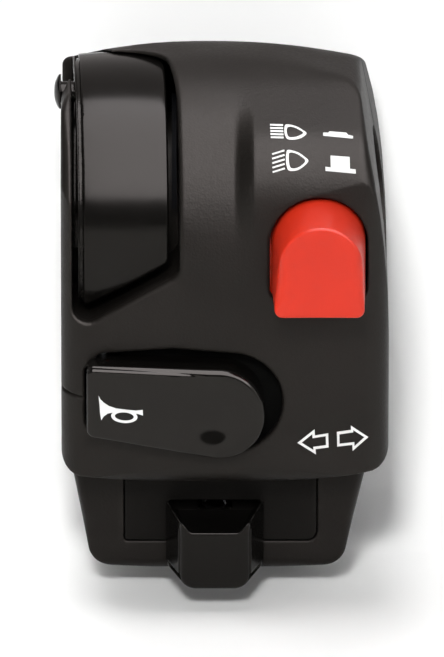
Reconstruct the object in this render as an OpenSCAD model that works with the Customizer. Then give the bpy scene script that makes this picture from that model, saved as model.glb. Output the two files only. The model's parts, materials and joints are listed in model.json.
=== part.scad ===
// Left-hand handlebar switch cluster: a two-piece casing clamped round the bar, with a choke lever,
// a push-push light button, a horn paddle and a sliding turn knob.
// X runs along the bar, the rider is on the -Y side and +Z is up. The origin is on the bar's axis.

/* [Handlebar clamp] */
// Diameter of the handlebar
bar_d = 22; // [21:0.1:22.6]
// Wall of the split sleeve round the handlebar
sleeve_wall = 2; // [1.6:0.1:2.3]
// Gap left between the half shells for clamping
clamp_gap = 0.4; // [0.2:0.1:0.8]
// Lean of the plane where the half shells meet, in degrees from upright
split_tilt = 25; // [23:0.5:27]
// Distance of the upper clamp screw from the bar's axis
screw_up = 17.9; // [17.4:0.1:18.2]
// Distance of the upper clamp screw from the casing's right end
screw_up_in = 16; // [14:0.5:18]
// Distance of the lower clamp screw from the bar's axis
screw_down = 24; // [23:0.1:25]
// Distance of the lower clamp screw from the casing's right end
screw_down_in = 10; // [9:0.5:11]
// Shank radius of a clamp screw
screw_r = 2; // [1.8:0.1:2.2]
// Head radius of a clamp screw
screw_head_r = 3.5; // [3.2:0.1:3.7]
// Length of a clamp screw under its head
screw_len = 16; // [15:0.5:18]

/* [Casing] */
// Width of the casing along the handlebar
case_w = 48; // [47:0.5:51]
// Wall of the casing
wall = 2; // [1.7:0.1:2.1]
// Distance from the bar's axis to the flat front face
face_depth = 24.5; // [24:0.1:25.5]
// Radius of the round upper front
round_r = 25.2; // [24.9:0.1:25.6]
// Drop of the centre of that round below the bar's axis
round_drop = 2; // [1.8:0.1:2.4]
// Radius of the boxy shoulder round the light button
shoulder_r = 12; // [10:0.5:14]
// Height of the shoulder's centre
shoulder_z = 6.4; // [5.5:0.1:7]
// Width of the shoulder
shoulder_w = 20.1; // [19.5:0.1:20.5]
// Width of the shoulder's slanted left wall
shoulder_wall_w = 3.2; // [2:0.1:4]
// Radius of the crown along the top
crown_r = 94; // [90:1:120]
// Lean of the crown's back half away from the rider, in degrees
crown_lean = 20; // [16:1:24]
// Place of the crown's highest point, left of the middle
crown_shift = 2.5; // [1:0.5:4]
// Radius of the crown across the front face
face_crown_r = 200; // [180:5:400]
// Radius of the slanted right side
side_r = 123; // [115:1:150]
// Height where the right side starts to lean in
side_z = -14; // [-16:0.5:-12]
// Lowest height of the front shell
rim_z = -36.2; // [-36.6:0.1:-36]
// Radius of the front shell's lower edge
rim_r = 4; // [3:0.1:4.5]
// Radius of the lower edge's curve in front view
rim_curve_r = 150; // [130:5:300]
// Radius of the casing's corners in front view
corner_r = 3; // [2.6:0.1:3.4]
// Radius of the upright corners of the front face
face_edge_r = 4; // [3:0.1:5]
// Radius of the round back
back_r = 23.6; // [23.4:0.1:24]
// Distance from the bar's axis to the lower block's front
block_depth = 16.5; // [16.3:0.1:16.7]
// Lowest height of the lower block
block_z = -52.2; // [-53:0.1:-52]
// Radius of the lower block's front edge
block_edge_r = 2.4; // [2.3:0.1:2.8]
// Place of the lower block's rear corner
block_back = 9; // [8:0.1:11]
// Radius of the lower block's rear corner
block_back_r = 4; // [3:0.1:5]
// Height where the left side starts to taper
taper_left_z = -28; // [-30:0.5:-26]
// Height where the right side starts to taper
taper_right_z = -22; // [-24:0.5:-20]
// How far the left side tapers in
taper_left = 4.2; // [3.6:0.1:4.4]
// How far the right side tapers in
taper_right = 6.4; // [5.8:0.1:6.8]

/* [Choke lever] */
// Outer radius of the lever's paddle
lever_r = 21.7; // [21.3:0.1:21.8]
// Thickness of the paddle
lever_t = 2.2; // [1.8:0.1:2.6]
// Distance of the paddle from the casing's left end
lever_in = 2.6; // [2.5:0.1:3]
// Width of the paddle
lever_w = 12.9; // [12:0.1:13.3]
// Height of the paddle's lower left corner
lever_low_z = -9.2; // [-10:0.1:-8.5]
// Height of the paddle's lower right corner
lever_high_z = -3.1; // [-3.6:0.1:-2.4]
// Width of the raised lip on the paddle's left edge
lip_w = 0.8; // [0.6:0.1:0.9]
// Height of that lip over the paddle
lip_h = 0.25; // [0.2:0.05:0.3]
// Groove round the paddle
recess_gap = 1.5; // [1.3:0.1:1.8]
// Wall of the lever's recess
recess_wall = 1.6; // [1.2:0.1:1.9]
// Turn of the lever, in degrees
lever_turn = 35; // [25:1:36]
// Wall of the lever's hub
hub_t = 2.1; // [1.7:0.1:2.4]
// Radius of the thumb nub
nub_r = 2.6; // [2.2:0.1:2.8]
// Distance of the thumb nub from the bar's axis
nub_at = 18.6; // [18.3:0.1:18.7]
// Angle of the thumb nub above the rider's side, in degrees
nub_angle = 78.5; // [77:0.5:80]
// How far the thumb nub stands out of the casing
nub_proud = 1.1; // [0.8:0.1:1.6]

/* [Light button] */
// Width of the button
light_w = 13.7; // [13:0.1:14.2]
// Distance of the button's middle from the casing's right end
light_in = 10.35; // [10.2:0.05:10.6]
// Top of the button's arch
light_top = 9.2; // [8.8:0.1:9.4]
// Bottom of the button
light_low = -6.6; // [-6.9:0.1:-6.2]
// How far the button stands out of the face
light_proud = 8.5; // [7:0.1:9]
// Fall of the arch from root to face
light_fall = 1.9; // [1.4:0.1:2.2]
// Push of the button
light_push = 3; // [2:0.1:3.1]
// Gap round the button
light_gap = 0.4; // [0.3:0.05:0.5]

/* [Horn button] */
// Radius of the horn paddle's round end
horn_r = 6.4; // [6:0.1:6.6]
// Place of the round end's middle along the bar, as a share of the casing's width
horn_share = 0.4896; // [0.48:0.002:0.5]
// Height of the middle of the round end
horn_z = -24; // [-24.3:0.1:-23.7]
// Distance of the paddle from the casing's left end
horn_in = 3.8; // [3.6:0.1:4.2]
// How far the paddle stands out of the face
horn_proud = 3.3; // [2.6:0.1:3.8]
// Radius of the finger dish
dish_r = 4.2; // [3.5:0.1:4.8]
// Depth of the finger dish
dish_h = 0.9; // [0.6:0.1:1.1]
// Gap under and left of the paddle
horn_gap = 0.5; // [0.35:0.05:0.6]
// Radius of the pocket at the round end
pocket_r = 7.5; // [7.2:0.1:7.8]
// Turn of the paddle, in degrees
horn_turn = 5.5; // [4:0.5:5.5]
// Radius of the pivot pin
pin_r = 1; // [0.8:0.05:1.1]

/* [Turn knob] */
// Shift of the knob from the middle of the insert panel
knob_shift = -0.85; // [-1.2:0.05:-0.4]
// Width of the knob at its root
knob_root_w = 14.7; // [13.5:0.1:15.5]
// Width of the knob at its face
knob_face_w = 10.2; // [9:0.1:11]
// Top of the knob
knob_top = -41.4; // [-41.8:0.1:-41]
// Height of the knob
knob_h = 10.2; // [9.5:0.1:10.6]
// Length of the knob from root to face
knob_len = 7.4; // [6.5:0.1:8.5]
// Travel of the knob to each side
knob_travel = 4; // [3:0.1:4.2]
// Press that cancels the signal
cancel_push = 1.2; // [0.8:0.1:1.3]
// Width and height of the knob's neck
neck_w = 5; // [4.4:0.1:5.2]
// Height of the middle of the neck
neck_z = -43.8; // [-44.2:0.1:-43.6]
// Distance of the insert panel from the block's left corner
panel_in_left = 4.9; // [4.6:0.1:5.2]
// Distance of the insert panel from the block's right corner
panel_in_right = 4; // [3.8:0.1:4.3]
// Lower edge of the insert panel
panel_low = -47.4; // [-47.6:0.1:-47.2]
// Upper edge of the insert panel
panel_top = -37; // [-37.2:0.1:-36.9]
// Radius of the detent ball
ball_r = 1.2; // [1:0.05:1.25]

/* [Small parts] */
// Thickness of a switch base or contact board
board_t = 1.6; // [1.3:0.1:1.8]
// Thickness of contact strip
strip_t = 0.4; // [0.3:0.05:0.5]
// Shank radius of a small board screw
tapper_r = 1; // [0.8:0.05:1.1]
// Wire radius of the light and horn springs
wire_r = 0.3; // [0.25:0.01:0.35]
// Wire radius of the two small springs in the carriage
fine_wire_r = 0.16; // [0.12:0.01:0.18]
// Radius of the wiring hole through the grommet
loom_r = 2.6; // [2:0.1:2.8]
// Radius of the choke cable hole through its guide
cable_r = 1.3; // [1:0.1:1.6]
// Outer radius of the choke cable guide
guide_r = 3; // [2.6:0.1:3.3]

/* [Hidden] */
$fn = 72;
// A loose fit, a running fit and a flush fit
slack = 0.3;
run = 0.05;
seat = 0.02;
// Cuts run past the faces that they open by this much
over = 1;
far = 60;
bar_r = bar_d / 2;
sleeve_r = bar_r + sleeve_wall;
x0 = -case_w / 2;
x1 = case_w / 2;
face_y = -face_depth;
block_y = -block_depth;
screw_up_x = x1 - screw_up_in;
screw_down_x = x1 - screw_down_in;
shoulder_x = x1 - shoulder_w;
block_left = x0 + taper_left;
block_right = x1 - taper_right;
lever_left = x0 + lever_in;
lever_right = lever_left + lever_w;
light_x = x1 - light_in;
horn_left = x0 + horn_in;
horn_x = x0 + case_w * horn_share;
panel_left = block_left + panel_in_left;
panel_right = block_right - panel_in_right;
knob_x = (panel_left + panel_right) / 2 + knob_shift;
crown_top = round_r - round_drop + 0.1;
// Arcs are drawn in steps of this many degrees
arc_step = 7.5;

// Shared heights and depths inside the casing
hub_r = sleeve_r + run;
lever_in_r = lever_r - lever_t;
pocket_clear_r = lever_r + lip_h + 0.3;
recess_left = x0 + 1.5;
recess_right = lever_right + recess_gap;
lever_top_y = 3.4;
hub_end = 128;
skin_y = lever_top_y + 0.6;
light_back_y = -sleeve_r - 0.5;
light_board_y = light_back_y - board_t;
light_root_y = face_y + wall + 2;
light_mid_z = 1;
bridge_z = -4.2;
plunger_t = 1.6;
plunger_half = 4.6;
light_screw_z = -10.6;
light_screw_dx = 5.05;
horn_face_y = face_y - horn_proud;
horn_root_y = face_y + wall + 1.9;
horn_pin_x = horn_left + 2;
horn_pin_y = horn_root_y + 0.2;
horn_board_y = horn_root_y + 3.6;
horn_screws = [[horn_left + 3, horn_z - 6.8], [horn_x + 7.6, horn_z - 7]];
panel_back_y = block_y + wall + 1;
carriage_y = panel_back_y + slack;
shutter_t = 1.6;
hub_back_y = carriage_y + shutter_t + 3.6;
turn_board_y = hub_back_y + strip_t + 0.15 + strip_t + 0.2;
knob_root_y = block_y - slack - cancel_push;
shutter_half = neck_w / 2 + 2 * knob_travel + slack;
carriage_half = 6.5;
carriage_top = -38.2;
carriage_low = -49.2;
detent_x = knob_x + carriage_half - 1.9;
detent_y = hub_back_y - 1.9;
ball_z = carriage_top - 0.5;
turn_screws = [[panel_left + 0.4, -43.5], [panel_right - 1.6, -43.5]];
loom_x = knob_x + 3.5;
loom_y = 0.2;
guide_x = knob_x - 7;
guide_y = 1;

// Rounded outlines
// A chain is a list of circles [u, v, r], anticlockwise, wrapped by their outer tangents.

function tangent_angle(a, b) =
  let (d = [b[0] - a[0], b[1] - a[1]])
  atan2(d[1], d[0]) - 90 + asin((a[2] - b[2]) / norm(d));

function positive(angle) = angle < 0 ? positive(angle + 360) : angle >= 360 ? angle - 360 : angle;

function corner_arc(c, from, turn) =
  let (steps = turn < 0.05 ? 0 : max(1, ceil(turn / arc_step)))
  [for (i = [0 : steps])
    let (angle = from + (steps == 0 ? 0 : turn * i / steps))
    [c[0] + c[2] * cos(angle), c[1] + c[2] * sin(angle)]];

function wrap(chain) =
  let (n = len(chain))
  [for (i = [0 : n - 1])
    let (from = tangent_angle(chain[(i + n - 1) % n], chain[i]),
         to = tangent_angle(chain[i], chain[(i + 1) % n]))
    each corner_arc(chain[i], from, positive(to - from))];

function grown(chain, by) = [for (c = chain) [c[0], c[1], max(c[2] + by, 0.05)]];

module outline(chain, by = 0) {
  polygon(wrap(grown(chain, by)));
}

// Outlines drawn in (y, z) and pulled along X, in (x, z) and pulled along Y

module along_x(from, to) {
  translate([from, 0, 0]) rotate([90, 0, 90]) linear_extrude(to - from) children();
}

module along_y(from, to) {
  translate([0, to, 0]) rotate([90, 0, 0]) linear_extrude(to - from) children();
}

// Round pieces on an axis

module rod_x(r, from, to, y = 0, z = 0) {
  translate([from, y, z]) rotate([0, 90, 0]) cylinder(r = r, h = to - from);
}

module rod_y(r, from, to, x = 0, z = 0) {
  translate([x, from, z]) rotate([-90, 0, 0]) cylinder(r = r, h = to - from);
}

module rod_z(r, from, to, x = 0, y = 0) {
  translate([x, y, from]) cylinder(r = r, h = to - from);
}

module box(low, high) {
  translate(low) cube(high - low);
}

// A ring about the bar from r0 to r1, between two angles measured up from the rider's side
module bar_sector(r0, r1, from_x, to_x, from, to) {
  rotate([90, 0, -90]) rotate([0, 0, from]) rotate_extrude(angle = to - from)
    translate([r0, -to_x]) square([r1 - r0, to_x - from_x]);
}

// The clamp frame: its Z runs up the split plane and its +Y points into the rear shell
module clamp_frame() {
  rotate([-split_tilt, 0, 0]) children();
}

module front_side() {
  clamp_frame() box([-far, -2 * far, -2 * far], [far, -clamp_gap / 2, 2 * far]);
}

module rear_side() {
  clamp_frame() box([-far, clamp_gap / 2, -2 * far], [far, 2 * far, 2 * far]);
}

module at_clamp_screws() {
  for (place = [[screw_up_x, screw_up], [screw_down_x, -screw_down]])
    clamp_frame() translate([place[0], 0, place[1]]) children();
}

// Casing outlines

function crown_z(x) = crown_top - x * x / (2 * crown_r);
function rim_at(x) = rim_z - 0.1 + x * x / (2 * rim_curve_r);
function side_x(z) = x1 - pow(max(z - side_z, 0), 2) / (2 * side_r);
function face_at(x) = face_y - 0.1 + x * x / (2 * face_crown_r);

top_corner_z = crown_z(x1 * 0.7) - corner_r;

round_chain = [
  [face_y + rim_r, rim_z + rim_r, rim_r],
  [0, rim_z + rim_r, rim_r],
  [round_r - face_depth, -round_drop, round_r]];

shoulder_chain = concat(round_chain, [[face_y + shoulder_r, shoulder_z, shoulder_r]]);

upper_chain = concat(
  [for (z = [side_z, 0, 10]) [side_x(z) - corner_r, z, corner_r]],
  [[side_x(top_corner_z) - corner_r, top_corner_z, corner_r]],
  [for (x = [10, 0, -10]) [x, crown_z(x) - corner_r, corner_r]],
  [[x0 + corner_r, crown_z(x0 + corner_r) - corner_r, corner_r]]);

front_chain = concat(
  [for (x = [x0 + corner_r, 0, x1 - corner_r]) [x, rim_at(x) + corner_r, corner_r]],
  upper_chain);

rear_chain = concat(
  [[block_left + corner_r, block_z + corner_r, corner_r],
   [block_right - corner_r, block_z + corner_r, corner_r],
   [x1 - corner_r, taper_right_z, corner_r]],
  upper_chain,
  [[x0 + corner_r, taper_left_z, corner_r]]);

plan_chain = concat(
  [for (x = [x0 + face_edge_r, -10, 0, 10, x1 - face_edge_r]) [x, face_at(x) + face_edge_r, face_edge_r]],
  [for (x = [x1 - face_edge_r, x0 + face_edge_r]) [x, back_r + face_edge_r, face_edge_r]]);

block_chain = [
  [block_y + block_edge_r, block_z + block_edge_r, block_edge_r],
  [block_back - block_back_r, block_z + block_back_r, block_back_r],
  [0, 0, back_r]];

// The crown, leaning back so that the top also falls away behind the ridge
module leaning_crown(inset) {
  rotate([-crown_lean, 0, 0])
    rod_y(crown_r - inset, -far, far, (x0 + x1) / 2 - crown_shift, crown_top + 0.2 - crown_r, $fn = 216);
}

// The front shell's outer body, or its hollow when drawn smaller
module front_body(inset) {
  intersection() {
    leaning_crown(inset);
    union() {
      along_x(x0 - over, x1 + over) outline(round_chain, -inset);
      along_x(shoulder_x + inset / 2, x1 + over) outline(shoulder_chain, -inset);
      if (inset == 0) shoulder_wall();
    }
    along_y(-far, far) outline(front_chain, -inset);
    translate([0, 0, -far]) linear_extrude(2 * far) outline(plan_chain, -inset);
  }
}

module shoulder_wall() {
  sunk = 0.8;
  slice = 0.05;
  hull() {
    along_x(shoulder_x, shoulder_x + slice) outline(shoulder_chain);
    along_x(shoulder_x - shoulder_wall_w, shoulder_x - shoulder_wall_w + slice) outline(round_chain, -sunk);
  }
}

module rear_body(inset) {
  intersection() {
    leaning_crown(inset);
    along_x(x0 - over, x1 + over) intersection() {
      outline(block_chain, -inset);
      union() {
        translate([block_y + inset, -far]) square(2 * far);
        if (inset > 0) translate([-far, rim_z + inset]) square(2 * far);
      }
    }
    along_y(-far, far) outline(rear_chain, -inset);
  }
}

// Outlines of the lever, the buttons and their openings, in (x, z)

lever_chain = [
  [lever_left + 0.8, lever_low_z + 0.8, 0.8],
  [lever_right - 1.6, lever_high_z + 1.6, 1.6],
  [lever_right - 1.6, far, 1.6],
  [lever_left + 0.8, far, 0.8]];

light_chain = [
  [light_x - light_w / 2 + 1.2, light_low + 1.2, 1.2],
  [light_x + light_w / 2 - 1.2, light_low + 1.2, 1.2],
  [light_x, light_top - light_w / 2, light_w / 2]];

light_face_chain = [
  [light_x - light_w / 2 + 1.6, light_low + 1.2, 1.2],
  [light_x + light_w / 2 - 1.4, light_low + 1.2, 1.2],
  [light_x + 0.3, light_top - light_fall - light_w / 2 + 0.8, light_w / 2 - 0.8]];

horn_chain = [
  [horn_left + 1.2, horn_z - 1.9, 1.2],
  [horn_x - 0.5, horn_z + 0.5, horn_r + 0.45],
  [horn_left + 1, horn_z + 6.8, 1]];

pocket_chain = [
  [horn_left + 1.2, horn_z - 1.9, 1.2 + horn_gap],
  [horn_x, horn_z, horn_r + horn_gap],
  [horn_x + 1.4, horn_z + 1.3, pocket_r],
  [horn_left + 1.4, horn_z + 6.8, 1.4 + horn_gap]];

module pocket_outline(by = 0) {
  outline(pocket_chain, by);
}

module recess_outline(by = 0) {
  intersection() {
    outline(lever_chain, recess_gap + by);
    translate([recess_left - by, -far]) square([far, 3 * far]);
  }
}

// Cuts that the lever needs in both shells

module lever_space() {
  difference() {
    union() {
      intersection() {
        along_y(-far, skin_y) recess_outline();
        front_side();
      }
      bar_sector(sleeve_r - 0.2, pocket_clear_r, recess_left + 0.1, recess_right - 0.1, 60, hub_end + lever_turn + 8);
    }
    rod_x(sleeve_r, x0 - over, x1 + over);
  }
  bar_sector(nub_at - nub_r - slack, far, x0 - over, recess_left + 0.1,
    nub_angle - 9, nub_angle + lever_turn + 9);
}

// Sockets and bosses of the clamp screws

insert_r = screw_r + 0.9;
insert_len = 7.6;
boss_r = insert_r + 0.6;
head_seat = screw_len - insert_len;

module clamp_holes() {
  at_clamp_screws() {
    rod_y(insert_r + seat, -insert_len - slack, 0);
    rod_y(screw_r + 0.15, -0.1, head_seat + 0.1);
    rod_y(screw_head_r + 0.2, head_seat, far);
  }
}

// Casing

module front_shell() {
  color("#26221f") difference() {
    union() {
      difference() {
        intersection() {
          front_body(0);
          front_side();
        }
        front_body(wall);
      }
      intersection() {
        front_body(0);
        front_side();
        union() {
          rod_x(sleeve_r, x0 + 0.5, x1 - 0.5);
          along_y(face_y, far) difference() {
            recess_outline(recess_wall);
            recess_outline();
          }
          at_clamp_screws() rod_y(boss_r, -far / 2, 0);
          front_posts();
        }
      }
    }
    rod_x(bar_r, x0 - over, x1 + over);
    lever_space();
    along_y(face_y - over, light_root_y + 1) outline(light_chain, light_gap);
    along_y(face_y - over, face_y + wall + 1) pocket_outline();
    rod_z(pin_r + seat, horn_low_lug - 1.1, horn_top_lug + 2.4, horn_pin_x, horn_pin_y);
    front_pilots();
    clamp_holes();
  }
}

horn_top_lug = horn_z + 8.6;
horn_low_lug = horn_z - 4.2;
post_r = tapper_r + 1;

function light_screws() = [for (side = [-1, 1]) [light_x + side * light_screw_dx, light_screw_z]];

module front_posts() {
  for (p = light_screws()) rod_y(post_r, face_y, light_board_y, p[0], p[1]);
  for (p = horn_screws) rod_y(post_r, face_y, horn_board_y, p[0], p[1]);
  for (lug = [[horn_low_lug - 2.6, horn_low_lug], [horn_top_lug, horn_top_lug + 2.6]])
    box([horn_pin_x - 2.2, face_y, lug[0]], [horn_pin_x + 2.2, horn_pin_y + 2, lug[1]]);
}

module front_pilots() {
  for (p = light_screws()) rod_y(tapper_r + seat, light_board_y - 5, light_board_y + over, p[0], p[1]);
  for (p = horn_screws) rod_y(tapper_r + seat, horn_board_y - 4, horn_board_y + over, p[0], p[1]);
}

module rear_shell() {
  color("#231f1d") difference() {
    union() {
      difference() {
        intersection() {
          rear_body(0);
          rear_side();
        }
        rear_body(wall);
      }
      intersection() {
        rear_body(0);
        rear_side();
        union() {
          rod_x(sleeve_r, x0 + 0.5, x1 - 0.5);
          at_clamp_screws() rod_y(screw_head_r + 1.4, 0, far / 2);
          for (p = turn_screws) rod_y(post_r, turn_board_y + board_t, far / 2, p[0], p[1]);
        }
      }
    }
    rod_x(bar_r, x0 - over, x1 + over);
    lever_space();
    clamp_holes();
    along_y(block_y - over, block_y + wall + over) panel_opening();
    rod_z(loom_r + 1.4, block_z - over, block_z + wall + over, loom_x, loom_y);
    rod_z(guide_r + seat, block_z - over, block_z + wall + over, guide_x, guide_y);
    for (p = turn_screws)
      rod_y(tapper_r + seat, turn_board_y - over, turn_board_y + board_t + 5, p[0], p[1]);
  }
}

module panel_opening() {
  translate([panel_left, panel_low]) square([panel_right - panel_left, panel_top - panel_low]);
}

module clamp_screws() {
  socket_r = screw_r * 0.8;
  color("#8d8f92") at_clamp_screws() difference() {
    union() {
      rod_y(screw_r, head_seat - screw_len, head_seat + 0.1);
      rod_y(screw_head_r, head_seat, head_seat + 2.6);
    }
    translate([0, head_seat + 1.1, 0]) rotate([-90, 0, 0]) cylinder(r = socket_r, h = 3, $fn = 6);
  }
}

module thread_inserts() {
  color("#c2a14a") at_clamp_screws() difference() {
    rod_y(insert_r, -insert_len, -clamp_gap / 2 - 0.1);
    rod_y(screw_r + seat, -insert_len - over, over);
  }
}

// Choke

module choke_lever() {
  web_t = 1.5;
  lip_left = lever_left - lip_w;
  nub_y = -nub_at * cos(nub_angle);
  nub_z = nub_at * sin(nub_angle);
  lever_top = 90 + asin(lever_top_y / lever_r);
  color("#17161a") union() {
    difference() {
      union() {
        bar_sector(lever_in_r, lever_r, lever_left, lever_right, -32, lever_top);
        bar_sector(lever_in_r + 0.1, lever_r + lip_h, lip_left, lever_left + 0.3, -32, lever_top - 0.4);
      }
      along_y(-far, 0) polygon([
        [lip_left - over, -far],
        [lip_left - over, lever_low_z + 1.3],
        [lever_left - 0.15, lever_low_z + 0.8],
        [lever_left + 0.4, lever_low_z + 0.25],
        [lever_left + 1.2, lever_low_z + 0.1],
        [lever_right - 0.8, lever_high_z + 0.2],
        [lever_right - 0.25, lever_high_z + 0.8],
        [lever_right + 0.1, lever_high_z + 1.7],
        [lever_right + over, lever_high_z + 4],
        [lever_right + over, -far]]);
    }
    for (x = [lever_left, lever_right - web_t])
      bar_sector(hub_r + hub_t - 0.1, lever_in_r + 0.1, x, x + web_t, 12, 94);
    bar_sector(hub_r, hub_r + hub_t, lip_left, lever_right + 0.2, -9, hub_end);
    rod_x(nub_r, x0 - nub_proud + 0.6, lever_left + web_t - 0.3, nub_y, nub_z);
    rod_x(nub_r - 0.6, x0 - nub_proud, lever_left + 0.3, nub_y, nub_z);
  }
}

module choke_friction_spring() {
  color("#9a9c9f") bar_sector(sleeve_r + 0.3, sleeve_r + 3.2, recess_right - 0.8, recess_right - 0.1, 15, 95);
}

module choke_cable_guide() {
  collar = 3.2;
  inside = block_z + wall;
  color("#b3934a") difference() {
    union() {
      rod_z(guide_r, block_z - 0.1, inside + 3.7, guide_x, guide_y);
      rod_z(guide_r + 0.9, inside, inside + 1.4, guide_x, guide_y);
      translate([guide_x, guide_y, block_z - collar]) cylinder(r = guide_r + 1.2, h = collar, $fn = 6);
    }
    rod_z(cable_r, block_z - far, 0, guide_x, guide_y);
  }
}

// Light switch

light_face_y = face_y - light_proud;
light_hollow_r = 4.2;
light_hollow_y = light_face_y + 2;
light_flange = 0.7;

module light_button() {
  slice = 0.05;
  press_r = 22;
  press_h = 0.5;
  color("#e33d2b") difference() {
    union() {
      hull() {
        along_y(face_y + wall, face_y + wall + slice) outline(light_chain, $fn = 32);
        along_y(light_face_y, light_face_y + slice) outline(light_face_chain, $fn = 32);
      }
      along_y(face_y + wall, light_root_y) outline(light_chain);
      intersection() {
        along_y(light_root_y - 1, light_root_y) outline(light_chain, light_flange);
        box([-far, -far, -far], [light_x + light_w / 2 - 0.4, far, far]);
      }
    }
    translate([light_x, light_face_y - press_r + press_h, light_low + 5.5]) sphere(r = press_r);
    rod_y(light_hollow_r, light_hollow_y, light_root_y + over, light_x, light_mid_z);
  }
}

module light_plunger() {
  color("#d9d6cc") difference() {
    box([light_x - plunger_half, light_root_y, light_mid_z - plunger_half - 1],
      [light_x + plunger_half, light_root_y + plunger_t, light_mid_z + plunger_half]);
    rod_y(light_hollow_r - 0.8, light_root_y - over, light_root_y + plunger_t + over, light_x, light_mid_z);
  }
}

module light_contact_bridge() {
  y = light_root_y + plunger_t;
  color("#c79a3e") box([light_x - 4.2, y, bridge_z - 0.9], [light_x + 4.2, y + strip_t, bridge_z + 0.6]);
}

light_post_r = 1.4;

module light_switch_base() {
  half = light_screw_dx + 2;
  color("#4a3a2c") difference() {
    union() {
      box([light_x - half, light_board_y, light_screw_z - 2], [light_x + half, light_back_y, light_screw_z + 2.6]);
      box([light_x - half + 1, light_board_y, light_screw_z], [light_x + half - 1, light_back_y, light_top - 0.8]);
      rod_y(light_post_r, light_board_y - 2.8, light_board_y + 0.1, light_x, light_mid_z);
    }
    for (p = light_screws())
      rod_y(tapper_r + 0.1, light_board_y - over, light_back_y + over, p[0], p[1]);
  }
}

module light_terminals() {
  color("#c79a3e") for (side = [-1, 1])
    box([light_x + side * 1.5 - 0.7, light_board_y - strip_t, light_screw_z - 4],
      [light_x + side * 1.5 + 0.7, light_board_y, bridge_z + 0.8]);
}

module light_latch_pin() {
  pin_wire = 0.4;
  x = light_x + plunger_half + 0.9;
  tip_y = light_board_y - 1.7;
  color("#b8babd") {
    rod_y(pin_wire, tip_y, light_board_y, x, light_mid_z);
    translate([x, tip_y, light_mid_z]) sphere(r = pin_wire);
    rod_z(pin_wire, light_mid_z - 3, light_mid_z, x, tip_y);
  }
}

// Springs: one tube swept along a helix about an axis through a point

spring_rings = 8;
spring_sides = 6;

function helix_point(r, pitch, turns, i) =
  let (t = i / spring_rings)
  [r * cos(360 * t), r * sin(360 * t), pitch * t];

function helix_ring(r, wire, pitch, i) =
  let (a = 360 * i / spring_rings,
       lean = atan2(pitch, 2 * PI * r),
       p = helix_point(r, pitch, 0, i),
       out = [cos(a), sin(a), 0],
       up = [sin(a) * sin(lean), -cos(a) * sin(lean), cos(lean)])
  [for (k = [0 : spring_sides - 1])
    p + wire * (cos(360 * k / spring_sides) * out + sin(360 * k / spring_sides) * up)];

function least_gap(r, wire, pitch, turns) =
  let (n = round(turns * spring_rings),
       points = [for (i = [0 : n]) helix_point(r, pitch, turns, i)])
  min([for (i = [0 : n - spring_rings + 2], j = [i + spring_rings - 2 : n]) norm(points[i] - points[j])])
    - 2 * wire;

module helix(r, wire, pitch, turns) {
  n = round(turns * spring_rings);
  points = [for (i = [0 : n]) each helix_ring(r, wire, pitch, i)];
  last = n * spring_sides;
  sides = [for (i = [0 : n - 1], k = [0 : spring_sides - 1])
    let (a = i * spring_sides + k,
         b = i * spring_sides + (k + 1) % spring_sides)
    each [[a, a + spring_sides, b], [b, a + spring_sides, b + spring_sides]]];
  caps = [for (k = [1 : spring_sides - 2]) each [[0, k, k + 1], [last, last + k + 1, last + k]]];
  polyhedron(points, concat(sides, caps));
}

// A spring that fills the length between two seats, standing along +Z from the first
module coil(r, wire, length, turns) {
  rise = (length - 2 * wire - 0.1) / turns;
  translate([0, 0, wire + 0.05]) helix(r, wire, rise, turns);
}

function coil_gap(r, wire, length, turns) = least_gap(r, wire, (length - 2 * wire - 0.1) / turns, turns);

light_coil_r = 2.4;
light_coil_len = light_board_y - light_hollow_y;
light_turns = 7;

module light_spring() {
  color("#aeb1b5") translate([light_x, light_board_y, light_mid_z]) rotate([90, 0, 0])
    coil(light_coil_r, wire_r, light_coil_len, light_turns);
}

// Horn

horn_wall = 1.8;
horn_hollow_y = horn_face_y + horn_wall;
horn_coil_x = horn_x - 3.2;
horn_coil_z = horn_z;
horn_coil_r = 2.2;
horn_turns = 5;

module horn_button() {
  ball = (dish_r * dish_r + dish_h * dish_h) / (2 * dish_h);
  flange_x = horn_pin_x + 2.8;
  color("#141318") difference() {
    union() {
      along_y(horn_face_y, horn_root_y) outline(horn_chain);
      intersection() {
        along_y(horn_root_y - 1, horn_root_y) pocket_outline(0.8);
        box([flange_x, -far, -far], [far, far, far]);
      }
      rod_z(2.1, horn_z - 2.2, horn_z + 6.9, horn_pin_x, horn_pin_y);
    }
    translate([horn_x - 1.2, horn_face_y - ball + dish_h, horn_z]) sphere(r = ball);
    intersection() {
      along_y(horn_hollow_y, horn_root_y + over) outline(horn_chain, -horn_wall);
      box([flange_x + 0.8, -far, -far], [far, far, far]);
    }
    rod_z(pin_r + run, -far, far, horn_pin_x, horn_pin_y);
  }
}

module horn_pivot_pin() {
  color("#b8babd") rod_z(pin_r, horn_low_lug - 1, horn_top_lug + 2.2, horn_pin_x, horn_pin_y);
}

module horn_spring() {
  color("#aeb1b5") translate([horn_coil_x, horn_board_y, horn_coil_z]) rotate([90, 0, 0])
    coil(horn_coil_r, wire_r, horn_board_y - horn_hollow_y, horn_turns);
}

module horn_contact_base() {
  margin = 1.9;
  low = min(horn_screws[0][1], horn_screws[1][1]) - margin;
  color("#4a3a2c") difference() {
    union() {
      box([horn_screws[0][0] - margin, horn_board_y, low],
        [horn_screws[1][0] + margin, horn_board_y + board_t, horn_z + 4.4]);
      rod_y(horn_coil_r - wire_r - 0.4, horn_board_y - 1.8, horn_board_y + 0.1, horn_coil_x, horn_coil_z);
    }
    for (p = horn_screws)
      rod_y(tapper_r + 0.1, horn_board_y - over, horn_board_y + board_t + over, p[0], p[1]);
  }
}

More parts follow.
